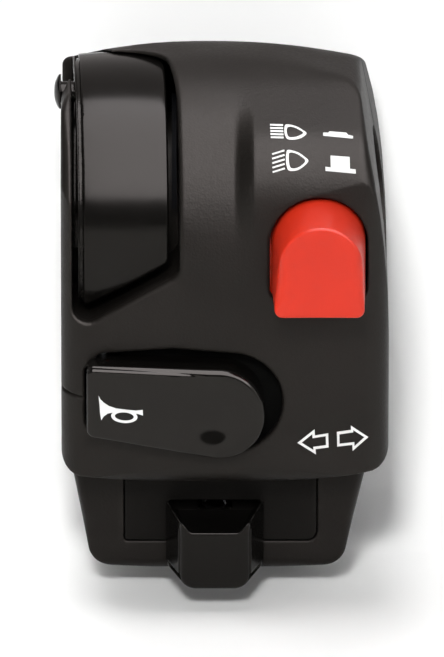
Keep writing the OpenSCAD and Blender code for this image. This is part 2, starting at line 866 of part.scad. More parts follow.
module horn_contact_blade() {
  rivet_x = horn_coil_x - 6;
  arm_y = horn_board_y - 2 * strip_t;
  color("#c79a3e") {
    box([rivet_x, horn_board_y - strip_t, horn_z + 1.4], [rivet_x + 3, horn_board_y, horn_z + 3.6]);
    box([rivet_x + 2, arm_y, horn_z + 2.6], [horn_x + 4.5, arm_y + strip_t, horn_z + 3.6]);
  }
}

module horn_terminals() {
  y = horn_board_y + board_t;
  color("#c79a3e") for (x = [horn_coil_x - 4, horn_coil_x + 5])
    box([x - 1, y, horn_z - 3], [x + 1, y + strip_t, horn_z + 6.4]);
}

// Turn signal

module turn_panel() {
  fit = 0.1;
  slot_half = neck_w / 2 + knob_travel + slack;
  color("#1c191a") difference() {
    union() {
      box([panel_left + fit, block_y, panel_low + fit], [panel_right - fit, block_y + wall + 0.1, panel_top - fit]);
      box([panel_left - 1, block_y + wall, panel_low - 1], [panel_right + 1, panel_back_y, panel_top + 1.1]);
    }
    box([knob_x - slot_half, block_y - over, neck_z - neck_w / 2 - slack],
      [knob_x + slot_half, panel_back_y + over, neck_z + neck_w / 2 + slack]);
  }
}

module turn_knob() {
  low = knob_top - knob_h;
  face = knob_root_y - knob_len;
  groove_r = 24;
  color("#131216") difference() {
    union() {
      translate([0, 0, low]) linear_extrude(knob_h) polygon([
        [knob_x - knob_root_w / 2, knob_root_y],
        [knob_x - knob_face_w / 2, face + 0.8],
        [knob_x - knob_face_w / 2 + 0.8, face],
        [knob_x + knob_face_w / 2 - 0.8, face],
        [knob_x + knob_face_w / 2, face + 0.8],
        [knob_x + knob_root_w / 2, knob_root_y]]);
      box([knob_x - neck_w / 2, knob_root_y - 0.1, neck_z - neck_w / 2],
        [knob_x + neck_w / 2, neck_end_y, neck_z + neck_w / 2]);
    }
    for (side = [-1, 1])
      translate([knob_x + side * (knob_face_w / 2 + 0.75), face + 2.6, low + 1.2])
        cylinder(r = 0.9, h = knob_h - 2.6);
    translate([knob_x, face - 0.4, knob_top + groove_r - 0.9]) rotate([-96, 0, 0])
      cylinder(r = groove_r, h = knob_len + 0.5);
  }
}

neck_end_y = carriage_y + 1;
socket_end_y = carriage_y + shutter_t + 2.6;

module turn_carriage() {
  fit = 0.1;
  color("#cfcbc0") difference() {
    union() {
      box([knob_x - shutter_half, carriage_y, carriage_low], [knob_x + shutter_half, carriage_y + shutter_t, carriage_top]);
      box([knob_x - carriage_half, carriage_y + shutter_t - 0.1, carriage_low],
        [knob_x + carriage_half, hub_back_y, carriage_top]);
    }
    box([knob_x - neck_w / 2 - fit, carriage_y - over, neck_z - neck_w / 2 - fit],
      [knob_x + neck_w / 2 + fit, socket_end_y, neck_z + neck_w / 2 + fit]);
    rod_z(ball_r + 0.1, ball_z - 6, carriage_top + over, detent_x, detent_y);
  }
}

cancel_coil_r = 1.7;
cancel_turns = 3;

module turn_cancel_spring() {
  color("#aeb1b5") translate([knob_x, socket_end_y, neck_z]) rotate([90, 0, 0])
    coil(cancel_coil_r, fine_wire_r, socket_end_y - neck_end_y, cancel_turns);
}

// A bent strip over the carriage, with a groove and three dimples that the ball runs under
module turn_detent_plate() {
  leg_t = 0.6;
  plate_low = ball_z + ball_r - 0.3;
  plate_top = plate_low + 1;
  half = carriage_half + knob_travel;
  color("#a9abae") difference() {
    union() {
      box([knob_x - half, panel_back_y, plate_low], [knob_x + half, panel_back_y + leg_t, panel_top + 1]);
      box([knob_x - half, panel_back_y, plate_low], [knob_x + half, hub_back_y, plate_top]);
    }
    rod_x(ball_r + 0.1, knob_x - far, knob_x + far, detent_y, ball_z);
    for (step = [-1, 0, 1])
      translate([detent_x + step * knob_travel, detent_y, ball_z]) sphere(r = ball_r + 0.25);
  }
}

module turn_detent_ball() {
  color("#d5d7da") translate([detent_x, detent_y, ball_z]) sphere(r = ball_r);
}

detent_coil_r = 0.85;
detent_len = 6 - ball_r;
detent_turns = 5;

module turn_detent_spring() {
  color("#aeb1b5") translate([detent_x, detent_y, ball_z - 6])
    coil(detent_coil_r, fine_wire_r, detent_len, detent_turns);
}

module turn_contact_bridge() {
  color("#c79a3e") box([knob_x - 4, hub_back_y, neck_z - 2.6], [knob_x + 4, hub_back_y + strip_t, neck_z + 1.6]);
}

module turn_contact_board() {
  margin = 2.2;
  color("#4a3a2c") difference() {
    box([turn_screws[0][0] - margin, turn_board_y, carriage_low + 0.2],
      [turn_screws[1][0] + margin, turn_board_y + board_t, carriage_top]);
    for (p = turn_screws)
      rod_y(tapper_r + 0.1, turn_board_y - over, turn_board_y + board_t + over, p[0], p[1]);
  }
}

module turn_terminals() {
  color("#c79a3e") for (step = [-1, 0, 1])
    box([knob_x + step * knob_travel - 1, turn_board_y - strip_t, neck_z - 2.4],
      [knob_x + step * knob_travel + 1, turn_board_y, carriage_top + 2]);
}

// Fasteners of the boards and the wiring gland

module tapping_screw(length) {
  head_h = 1.3;
  color("#8d8f92") difference() {
    union() {
      rotate([90, 0, 0]) cylinder(r = tapper_r, h = length);
      rotate([-90, 0, 0]) cylinder(r1 = tapper_r * 1.8, r2 = tapper_r * 1.3, h = head_h);
    }
    for (turn = [0, 90])
      rotate([0, turn, 0]) box([-tapper_r * 1.1, head_h - 0.6, -0.2], [tapper_r * 1.1, head_h + over, 0.2]);
  }
}

module board_screws() {
  for (p = light_screws()) translate([p[0], light_back_y, p[1]]) tapping_screw(board_t + 4.6);
  for (p = horn_screws) translate([p[0], horn_board_y + board_t, p[1]]) tapping_screw(board_t + 3.6);
  for (p = turn_screws) translate([p[0], turn_board_y, p[1]]) rotate([0, 0, 180]) tapping_screw(board_t + 4.6);
}

module wire_grommet() {
  lip = 1.1;
  neck_r = loom_r + 1.4;
  color("#1a1a1a") difference() {
    union() {
      rod_z(neck_r - seat, block_z - 0.1, block_z + wall + 0.1, loom_x, loom_y);
      rod_z(neck_r + 1.4, block_z - lip, block_z, loom_x, loom_y);
      rod_z(neck_r + 0.8, block_z + wall, block_z + wall + lip, loom_x, loom_y);
    }
    rod_z(loom_r, block_z - far, 0, loom_x, loom_y);
  }
}

echo(least_spring_gaps = [
  coil_gap(light_coil_r, wire_r, light_coil_len, light_turns),
  coil_gap(horn_coil_r, wire_r, horn_board_y - horn_hollow_y, horn_turns),
  coil_gap(cancel_coil_r, fine_wire_r, socket_end_y - neck_end_y, cancel_turns),
  coil_gap(detent_coil_r, fine_wire_r, detent_len, detent_turns)]);

front_shell();
rear_shell();
clamp_screws();
thread_inserts();
choke_lever();
choke_friction_spring();
choke_cable_guide();
light_button();
light_plunger();
light_spring();
light_latch_pin();
light_contact_bridge();
light_switch_base();
light_terminals();
horn_button();
horn_pivot_pin();
horn_spring();
horn_contact_blade();
horn_contact_base();
horn_terminals();
turn_panel();
turn_knob();
turn_carriage();
turn_cancel_spring();
turn_detent_plate();
turn_detent_ball();
turn_detent_spring();
turn_contact_bridge();
turn_contact_board();
turn_terminals();
board_screws();
wire_grommet();
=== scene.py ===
"""Looks of a left-hand handlebar switch cluster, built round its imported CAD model.

Shapes are worked out in millimetres in the CAD frame: X along the handlebar, the rider on the -Y side
and +Z up. The moulded pieces are made as distance fields with rounded edges and turned into meshes.
"""

import json
import logging
import math
from dataclasses import dataclass, field
from enum import Enum
from typing import Iterable, Sequence

import bpy
import numpy as np
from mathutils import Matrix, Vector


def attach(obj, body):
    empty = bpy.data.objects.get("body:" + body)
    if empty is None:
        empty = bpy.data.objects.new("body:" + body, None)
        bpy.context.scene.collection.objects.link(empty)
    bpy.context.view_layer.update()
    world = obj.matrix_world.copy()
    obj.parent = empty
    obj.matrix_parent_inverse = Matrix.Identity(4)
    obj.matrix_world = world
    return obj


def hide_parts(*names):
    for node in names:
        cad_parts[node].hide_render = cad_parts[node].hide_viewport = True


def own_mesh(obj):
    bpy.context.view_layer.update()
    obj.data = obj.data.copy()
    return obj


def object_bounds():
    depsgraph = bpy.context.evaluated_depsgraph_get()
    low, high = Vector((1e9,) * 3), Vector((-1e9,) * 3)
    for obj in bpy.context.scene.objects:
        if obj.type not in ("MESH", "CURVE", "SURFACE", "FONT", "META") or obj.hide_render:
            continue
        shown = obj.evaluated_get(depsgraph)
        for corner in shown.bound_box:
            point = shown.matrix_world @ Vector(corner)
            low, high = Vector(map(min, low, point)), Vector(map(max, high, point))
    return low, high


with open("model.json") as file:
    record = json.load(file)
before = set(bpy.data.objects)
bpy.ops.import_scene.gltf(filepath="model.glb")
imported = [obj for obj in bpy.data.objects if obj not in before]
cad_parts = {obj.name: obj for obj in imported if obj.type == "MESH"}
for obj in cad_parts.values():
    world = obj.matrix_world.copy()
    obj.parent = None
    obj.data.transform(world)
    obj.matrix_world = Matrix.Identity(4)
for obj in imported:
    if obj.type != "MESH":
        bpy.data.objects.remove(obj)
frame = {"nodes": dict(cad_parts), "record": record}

import openvdb
from mathutils import Vector
from mathutils.bvhtree import BVHTree
from mathutils.geometry import delaunay_2d_cdt

LOG = logging.getLogger("switch_cluster")
MM = 0.001
FAR = 60.0
CAD_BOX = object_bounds()
ARC_STEP = 3.0
DUST_COLOUR = (0.55, 0.53, 0.5, 1.0)

Array = np.ndarray
Circle = tuple[float, float, float]
Point = tuple[float, float]


class Body(Enum):
    """The moving bodies of the cluster."""

    CASING = "casing"
    CHOKE = "choke"
    LIGHT = "light"
    HORN = "horn"
    CARRIAGE = "carriage"
    KNOB = "knob"


class Slot(Enum):
    """The material slots of the record."""

    CASING = "casing"
    CASING_REAR = "casing_rear"
    LEVER = "lever"
    HORN = "horn"
    KNOB = "knob"
    PANEL = "panel"
    RED_BUTTON = "red_button"
    PALE_PLASTIC = "pale_plastic"
    BOARD = "board"
    BRASS = "brass"
    STEEL = "steel"
    SPRING_STEEL = "spring_steel"
    RUBBER = "rubber"


# Distance fields


@dataclass(frozen=True)
class Space:
    """A block of space cut into small cells.

    Attributes:
        low: lowest corner in millimetres.
        high: highest corner in millimetres.
        step: edge of a cell in millimetres.
    """

    low: tuple[float, float, float]
    high: tuple[float, float, float]
    step: float

    def axes(self) -> tuple[Array, Array, Array]:
        """Gives the x, y and z of the cells, shaped to spread over each other.

        Returns:
            Three arrays of shapes (n, 1, 1), (1, n, 1) and (1, 1, n).
        """
        spans = [
            np.arange(a, b + self.step, self.step, dtype=np.float32)
            for a, b in zip(self.low, self.high)
        ]
        return spans[0][:, None, None], spans[1][None, :, None], spans[2][None, None, :]


def meet(a: Array, b: Array, r: float | Array = 0.0) -> Array:
    """Keeps what is in both fields, with the edge between them rounded.

    Args:
        a: first field.
        b: second field.
        r: radius of the rounded edge.

    Returns:
        The field of the common part.
    """
    if np.ndim(r) == 0 and r <= 0:
        return np.maximum(a, b)
    corner = np.sqrt(np.maximum(a + r, 0) ** 2 + np.maximum(b + r, 0) ** 2)
    return np.minimum(np.maximum(a, b), -r) + corner


def cut(a: Array, b: Array, r: float = 0.0) -> Array:
    """Takes b out of a, with the mouth of the cut rounded by r."""
    return meet(a, -b, r)


def span(u: Array, low: float, high: float) -> Array:
    """Gives the field of the slab between two values of one coordinate."""
    return np.maximum(low - u, u - high)


def box(axes: Sequence[Array], low: Sequence[float], high: Sequence[float], r: float = 0.0) -> Array:
    """Gives the field of a box with rounded edges.

    Args:
        axes: the space's coordinates.
        low: lowest corner.
        high: highest corner.
        r: radius of the edges.

    Returns:
        The field of the box.
    """
    slabs = [span(u, a, b) for u, a, b in zip(axes, low, high)]
    return meet(meet(slabs[0], slabs[1], r), slabs[2], r)


def rod(u: Array, v: Array, along: Array, at: Point, r: float, ends: Point) -> Array:
    """Gives the field of a round rod.

    Args:
        u: first coordinate across the rod.
        v: second coordinate across the rod.
        along: coordinate along the rod.
        at: place of the rod's axis in u and v.
        r: radius of the rod.
        ends: where the rod starts and ends.

    Returns:
        The field of the rod.
    """
    return np.maximum(np.hypot(u - at[0], v - at[1]) - r, span(along, *ends))


def ring_sector(bar: Array, angle: Array, r0: float, r1: float, start: float, stop: float) -> Array:
    """Gives the field of a ring about the handlebar between two angles.

    Args:
        bar: distance from the handlebar's axis.
        angle: angle about the handlebar, up from the rider's side, in radians.
        r0: inner radius.
        r1: outer radius.
        start: first angle in degrees.
        stop: last angle in degrees.

    Returns:
        The field of the ring's sector.
    """
    turn = np.maximum(math.radians(start) - angle, angle - math.radians(stop)) * bar
    return np.maximum(span(bar, r0, r1), turn)


def wrap(chain: Sequence[Circle], by: float = 0.0) -> Array:
    """Wraps a chain of circles, taken anticlockwise, in their outer tangents.

    Args:
        chain: circles as (u, v, radius).
        by: how far the outline is grown.

    Returns:
        The outline's points, one row each.
    """
    circles = [(u, v, max(r + by, 0.05)) for u, v, r in chain]
    count = len(circles)
    turns = []
    for i, a in enumerate(circles):
        b = circles[(i + 1) % count]
        d = (b[0] - a[0], b[1] - a[1])
        lean = math.asin((a[2] - b[2]) / math.hypot(*d))
        turns.append(math.atan2(d[1], d[0]) - math.pi / 2 + lean)
    points = []
    for i, (u, v, r) in enumerate(circles):
        start = turns[i - 1]
        sweep = (turns[i] - start) % math.tau
        steps = max(1, math.ceil(math.degrees(sweep) / ARC_STEP)) if sweep < math.tau - 1e-4 else 0
        for k in range(steps + 1):
            t = start + (sweep * k / steps if steps else 0.0)
            points.append((u + r * math.cos(t), v + r * math.sin(t)))
    return np.array(points)


def outline(points: Array, u: Array, v: Array) -> Array:
    """Gives the distance from a closed outline, negative inside.

    Args:
        points: the outline's points, one row each.
        u: first coordinate.
        v: second coordinate.

    Returns:
        The distance field in the two coordinates.
    """
    u, v = np.broadcast_arrays(u, v)
    near = np.full(u.shape, 1e9, np.float32)
    inside = np.zeros(u.shape, bool)
    for (x0, y0), (x1, y1) in zip(points, np.roll(points, -1, axis=0)):
        dx, dy = x1 - x0, y1 - y0
        length = dx * dx + dy * dy
        if length < 1e-12:
            continue
        px, py = u - x0, v - y0
        t = np.clip((px * dx + py * dy) / length, 0, 1)
        near = np.minimum(near, (px - t * dx) ** 2 + (py - t * dy) ** 2)
        if dy != 0:
            crosses = (v >= min(y0, y1)) & (v < max(y0, y1))
            inside ^= crosses & (px < py * dx / dy)
    return np.where(inside, -1, 1).astype(np.float32) * np.sqrt(near)


def eased(u: Array, low: float, high: float) -> Array:
    """Clamps a ramp to 0 and 1 with a soft start and a soft end.

    Args:
        u: the ramp.
        low: half width of the soft start.
        high: half width of the soft end.

    Returns:
        The ramp with both its corners rounded.
    """
    start = np.where(u < low, np.maximum(u + low, 0) ** 2 / (4 * low), u)
    return np.where(u > 1 - high, 1 - np.maximum(1 + high - u, 0) ** 2 / (4 * high), start)


def smooth(u: Array, low: float, high: float) -> Array:
    """Rises smoothly from 0 at one value to 1 at another."""
    t = np.clip((u - low) / (high - low), 0, 1)
    return t * t * (3 - 2 * t)


def slanted(flat: Array, x: Array, y: Array, slant: float) -> Array:
    """Spreads a field drawn in x and z along y, shifting it along x as it goes.

    Args:
        flat: the field, one layer thick in y.
        x: the space's x.
        y: the space's y.
        slant: shift along x for each step along y.

    Returns:
        The field of the slanted form.
    """
    rows = np.arange(x.size)
    shifts = slant * y.ravel() / float(x.ravel()[1] - x.ravel()[0])
    layers = []
    for shift in shifts:
        at = np.clip(rows + shift, 0, x.size - 1.001)
        base = at.astype(int)
        part = (at - base).astype(np.float32)[:, None]
        layers.append(flat[base, 0] * (1 - part) + flat[base + 1, 0] * part)
    return np.stack(layers, axis=1)


def round_corner(right: float, top: float, wide: float, tall: float) -> Array:
    """Gives a wide outline with one elliptical corner at its right and top.

    Args:
        right: place of its right side.
        top: place of its upper side.
        wide: the corner's half axis across.
        tall: the corner's half axis upwards.

    Returns:
        The outline's points, one row each.
    """
    turns = np.radians(np.linspace(0, 90, 24))
    arc = np.stack([right - wide + wide * np.cos(turns), top - tall + tall * np.sin(turns)], axis=1)
    return np.concatenate([[(-FAR, -FAR), (right, -FAR)], arc, [(-FAR, top)]])


def sample(values: Array, at: Array) -> Array:
    """Reads a field between its cells.

    Args:
        values: the field.
        at: places in cell units, one row each.

    Returns:
        The field's value at each place.
    """
    at = np.clip(at, 0, np.array(values.shape) - 1.001)
    base = at.astype(int)
    part = (at - base).astype(np.float32)
    total = np.zeros(len(at), np.float32)
    for corner in range(8):
        bits = np.array([corner >> 2 & 1, corner >> 1 & 1, corner & 1])
        weight = np.prod(np.where(bits, part, 1 - part), axis=1)
        total += weight * values[tuple((base + bits).T)]
    return total


def slope(values: Array, at: Array, reach: float = 0.6) -> Array:
    """Gives the direction in which a field grows.

    Args:
        values: the field.
        at: places in cell units, one row each.
        reach: half the distance over which the growth is read, in cells.

    Returns:
        The growth per cell at each place, one row each.
    """
    steps = np.eye(3) * reach
    return np.stack(
        [(sample(values, at + s) - sample(values, at - s)) / (2 * reach) for s in steps], axis=1
    )


def mesh_of(name: str, space: Space, values: Array, fine: float = 0.012) -> bpy.types.Mesh:
    """Turns a field into a mesh in metres with smooth normals and an edge attribute.

    Args:
        name: the mesh's name.
        space: the space of the field.
        values: the field in millimetres, negative inside.
        fine: how freely flat parts get larger faces.

    Returns:
        The mesh.
    """
    values = np.ascontiguousarray(values, np.float32)
    grid = openvdb.FloatGrid(4 * space.step)
    grid.copyFromArray(np.clip(values, -4 * space.step, 4 * space.step))
    places, triangles, quads = grid.convertToPolygons(isovalue=0.0, adaptivity=fine)
    places = np.asarray(places, float)
    for _ in range(2):
        steep = slope(values, places, 0.5)
        size = np.maximum((steep**2).sum(1), (0.3 * space.step) ** 2)
        move = sample(values, places) / size
        places -= np.clip(move, -0.5, 0.5)[:, None] * steep
    normals = slope(values, places, 0.8)
    normals /= np.maximum(np.linalg.norm(normals, axis=1), 1e-9)[:, None]
    wide = slope(values, places, 2.5)
    bend = np.clip(1 - np.linalg.norm(wide, axis=1) / space.step, 0, 1)
    faces = [tuple(t) for t in triangles.tolist()] + [tuple(q) for q in quads.tolist()]
    corner = places[np.array([f[:3] for f in faces])]
    across = np.cross(corner[:, 1] - corner[:, 0], corner[:, 2] - corner[:, 0])
    volume = float((across * corner.mean(1)).sum())
    if volume < 0:
        faces = [f[::-1] for f in faces]
    mesh = bpy.data.meshes.new(name)
    mesh.from_pydata(((places * space.step + np.array(space.low)) * MM).tolist(), [], faces)
    mesh.shade_smooth()
    mesh.normals_split_custom_set_from_vertices(normals.tolist())
    edge = mesh.attributes.new("edge", "FLOAT", "POINT")
    edge.data.foreach_set("value", bend.astype(np.float32))
    return mesh


# Shader groups and finishes


class Tree:
    """A node tree with short calls for adding and linking nodes."""

    def __init__(self, tree: bpy.types.NodeTree) -> None:
        """Wraps a tree."""
        self.tree = tree

    def add(self, kind: str, settings: dict | None = None, **links: object) -> bpy.types.Node:
        """Adds a node, sets its options and fills its inputs.

        Args:
            kind: the node's type name.
            settings: options of the node, and inputs by name or number.
            **links: inputs by name, with underscores for spaces.

        Returns:
            The node.
        """
        node = self.tree.nodes.new(kind)
        for key, value in (settings or {}).items():
            if isinstance(key, int) or key in node.inputs:
                self.put(node.inputs[key], value)
            else:
                setattr(node, key, value)
        for key, value in links.items():
            self.put(node.inputs[key.replace("_", " ")], value)
        return node

    def put(self, socket: bpy.types.NodeSocket, value: object) -> None:
        """Links a socket to an output, or sets its value."""
        if isinstance(value, bpy.types.NodeSocket):
            self.tree.links.new(value, socket)
        else:
            socket.default_value = value

    def math(self, operation: str, *values: object) -> bpy.types.NodeSocket:
        """Adds a Math node and gives its result."""
        node = self.add("ShaderNodeMath", {"operation": operation})
        for i, value in enumerate(values):
            self.put(node.inputs[i], value)
        return node.outputs[0]

    def blend(self, factor: object, a: object, b: object, mode: str = "MIX") -> bpy.types.NodeSocket:
        """Adds a colour Mix node and gives its result."""
        node = self.add("ShaderNodeMix", {"data_type": "RGBA", "blend_type": mode})
        for i, value in ((0, factor), (6, a), (7, b)):
            self.put(node.inputs[i], value)
        return node.outputs[2]

    def ramp(self, value: object, low: float, high: float, to_low: float = 0.0,
             to_high: float = 1.0) -> bpy.types.NodeSocket:
        """Adds a Map Range node and gives its result."""
        node = self.add("ShaderNodeMapRange", {"clamp": True})
        names = ("Value", "From Min", "From Max", "To Min", "To Max")
        for key, put in zip(names, (value, low, high, to_low, to_high)):
            self.put(node.inputs[key], put)
        return node.outputs[0]


def new_group(name: str, kind: str, inputs: Iterable[tuple[str, str, object]],
              outputs: Iterable[tuple[str, str]]) -> Tree:
    """Starts a node group with named sockets.

    Args:
        name: the group's name.
        kind: type of the tree.
        inputs: name, socket type and default of each input.
        outputs: name and socket type of each output.

    Returns:
        The group's tree.
    """
    group = bpy.data.node_groups.new(name, kind)
    for title, socket_type, default in inputs:
        socket = group.interface.new_socket(name=title, in_out="INPUT", socket_type=socket_type)
        if default is not None:
            socket.default_value = default
    for title, socket_type in outputs:
        group.interface.new_socket(name=title, in_out="OUTPUT", socket_type=socket_type)
    return Tree(group)


NUMBER, VECTOR = "NodeSocketFloat", "NodeSocketVector"
CYLINDER = "GeometryNodeMeshCylinder"


@dataclass
class ShaderGroups:
    """The surface effects that several finishes share."""

    grain: bpy.types.NodeTree = field(init=False)
    wear: bpy.types.NodeTree = field(init=False)
    dust: bpy.types.NodeTree = field(init=False)
    lines: bpy.types.NodeTree = field(init=False)

    def __post_init__(self) -> None:
        """Builds each group once."""
        self.grain = self.moulded_grain()
        self.wear = self.handled_edges()
        self.dust = self.settled_dust()
        self.lines = self.drawn_lines()

    def moulded_grain(self) -> bpy.types.NodeTree:
        """Builds the fine spark-eroded grain of a moulded surface and its slow colour drift.

        Returns:
            A group that gives a height, a gloss shift and a tint mask.
        """
        t = new_group(
            "moulded_grain", "ShaderNodeTree",
            [("Place", VECTOR, None), ("Fineness", NUMBER, 3000.0)],
            [("Height", NUMBER), ("Gloss", NUMBER), ("Tint", NUMBER)],
        )
        start, end = t.add("NodeGroupInput"), t.add("NodeGroupOutput")
        place, fine = start.outputs["Place"], start.outputs["Fineness"]
        pits = t.add("ShaderNodeTexVoronoi", {"feature": "SMOOTH_F1"}, Vector=place, Scale=fine, Smoothness=0.6)
        rough = t.add("ShaderNodeTexNoise", Vector=place, Scale=t.math("MULTIPLY", fine, 0.55), Detail=3.0)
        slow = t.add("ShaderNodeTexNoise", Vector=place, Scale=95.0, Detail=2.0, Roughness=0.6)
        pitted = t.math("MULTIPLY", pits.outputs["Distance"], 0.7)
        t.put(end.inputs["Height"], t.math("ADD", pitted, t.math("MULTIPLY", rough.outputs[0], 0.8)))
        t.put(end.inputs["Gloss"], t.ramp(t.math("ADD", rough.outputs[0], slow.outputs[0]), 0.7, 1.3, -1.0, 1.0))
        t.put(end.inputs["Tint"], t.ramp(slow.outputs[0], 0.3, 0.7))
        return t.tree

    def handled_edges(self) -> bpy.types.NodeTree:
        """Builds the worn mask along edges.

        Returns:
            A group that turns the edge attribute into a broken mask.
        """
        t = new_group(
            "handled_edges", "ShaderNodeTree",
            [("Place", VECTOR, None), ("Edge", NUMBER, 0.0), ("Amount", NUMBER, 0.5)],
            [("Mask", NUMBER)],
        )
        start, end = t.add("NodeGroupInput"), t.add("NodeGroupOutput")
        noise = t.add("ShaderNodeTexNoise", Vector=start.outputs["Place"], Scale=420.0, Detail=4.0, Roughness=0.65)
        edge = t.ramp(start.outputs["Edge"], 0.02, 0.2)
        broken = t.ramp(noise.outputs[0], 0.38, 0.66)
        mask = t.math("MULTIPLY", t.math("MULTIPLY", edge, broken), start.outputs["Amount"])
        t.put(end.inputs["Mask"], mask)
        return t.tree

    def settled_dust(self) -> bpy.types.NodeTree:
        """Builds a few pale specks of dust.

        Returns:
            A group that gives the specks' mask.
        """
        t = new_group(
            "settled_dust", "ShaderNodeTree",
            [("Place", VECTOR, None), ("Share", NUMBER, 0.03)],
            [("Mask", NUMBER)],
        )
        start, end = t.add("NodeGroupInput"), t.add("NodeGroupOutput")
        cells = t.add("ShaderNodeTexVoronoi", {"feature": "F1"}, Vector=start.outputs["Place"], Scale=420.0)
        split = t.add("ShaderNodeSeparateColor", Color=cells.outputs["Color"])
        chosen = t.math("LESS_THAN", split.outputs[0], start.outputs["Share"])
        spot = t.ramp(cells.outputs["Distance"], 0.05, 0.02)
        t.put(end.inputs["Mask"], t.math("MULTIPLY", chosen, spot))
        return t.tree

    def drawn_lines(self) -> bpy.types.NodeTree:
        """Builds the fine lines that drawing or rolling leaves in metal.

        Returns:
            A group that gives a height, a gloss shift and a tint mask.
        """
        t = new_group(
            "drawn_lines", "ShaderNodeTree",
            [("Place", VECTOR, None), ("Fineness", NUMBER, 900.0)],
            [("Height", NUMBER), ("Gloss", NUMBER), ("Tint", NUMBER)],
        )
        start, end = t.add("NodeGroupInput"), t.add("NodeGroupOutput")
        place = t.add("ShaderNodeMapping", Vector=start.outputs["Place"], Scale=(0.12, 1.0, 1.0)).outputs[0]
        lines = t.add("ShaderNodeTexNoise", Vector=place, Scale=start.outputs["Fineness"], Detail=4.0)
        stain = t.add("ShaderNodeTexNoise", Vector=start.outputs["Place"], Scale=160.0, Detail=3.0)
        t.put(end.inputs["Height"], lines.outputs[0])
        t.put(end.inputs["Gloss"], t.ramp(lines.outputs[0], 0.3, 0.7, -1.0, 1.0))
        t.put(end.inputs["Tint"], t.ramp(stain.outputs[0], 0.35, 0.7))
        return t.tree


@dataclass(frozen=True)
class Finish:
    """One finish of the part.

    Attributes:
        name: the material's name.
        colour: base colour, linear.
        drift: colour that the base drifts towards.
        rough: mean roughness.
        rough_drift: how far grain moves the roughness.
        fineness: grain cells per metre.
        depth: height of the grain in metres.
        metal: how metallic it is.
        wear: how strongly edges are worn.
        worn: colour of a worn edge.
        dust: share of cells with a dust speck.
        lined: whether the grain is drawn lines, not moulded.
        ior: index of refraction.
        gloss_tint: colour of its reflections.
    """

    name: str
    colour: tuple[float, float, float]
    drift: tuple[float, float, float]
    rough: float
    rough_drift: float = 0.05
    fineness: float = 3000.0
    depth: float = 1e-5
    metal: float = 0.0
    wear: float = 0.3
    worn: tuple[float, float, float] = (0.2, 0.19, 0.18)
    dust: float = 0.0
    lined: bool = False
    ior: float = 1.5
    gloss_tint: tuple[float, float, float] = (1.0, 1.0, 1.0)

    def make(self, groups: ShaderGroups) -> bpy.types.Material:
        """Builds the material.

        Args:
            groups: the shared surface effects.

        Returns:
            The material.
        """
        material = bpy.data.materials.new(self.name)
        material.use_nodes = True
        material.diffuse_color = (*self.colour, 1.0)
        t = Tree(material.node_tree)
        t.tree.nodes.clear()
        place = t.add("ShaderNodeTexCoord").outputs["Object"]
        edge = t.add("ShaderNodeAttribute", {"attribute_type": "GEOMETRY", "attribute_name": "edge"}).outputs["Fac"]
        grain = t.add("ShaderNodeGroup", {"node_tree": groups.lines if self.lined else groups.grain},
                      Place=place, Fineness=self.fineness)
        worn = t.add("ShaderNodeGroup", {"node_tree": groups.wear}, Place=place, Edge=edge, Amount=self.wear)
        colour = t.blend(grain.outputs["Tint"], (*self.colour, 1.0), (*self.drift, 1.0))
        colour = t.blend(worn.outputs["Mask"], colour, (*self.worn, 1.0))
        if self.dust > 0:
            specks = t.add("ShaderNodeGroup", {"node_tree": groups.dust}, Place=place, Share=self.dust)
            colour = t.blend(specks.outputs["Mask"], colour, DUST_COLOUR)
        shift = t.math("MULTIPLY", grain.outputs["Gloss"], self.rough_drift)
        polish = t.math("MULTIPLY", worn.outputs["Mask"], -0.12)
        rough = t.math("ADD", t.math("ADD", shift, self.rough), polish)
        bump = t.add("ShaderNodeBump", Height=grain.outputs["Height"], Strength=1.0, Distance=self.depth)
        shader = t.add(
            "ShaderNodeBsdfPrincipled",
            {"Base Color": colour, "Roughness": rough, "Metallic": self.metal, "IOR": self.ior,
             "Normal": bump.outputs[0]},
        )
        shader.inputs["Specular Tint"].default_value = (*self.gloss_tint, 1.0)
        t.add("ShaderNodeOutputMaterial", Surface=shader.outputs[0])
        return material


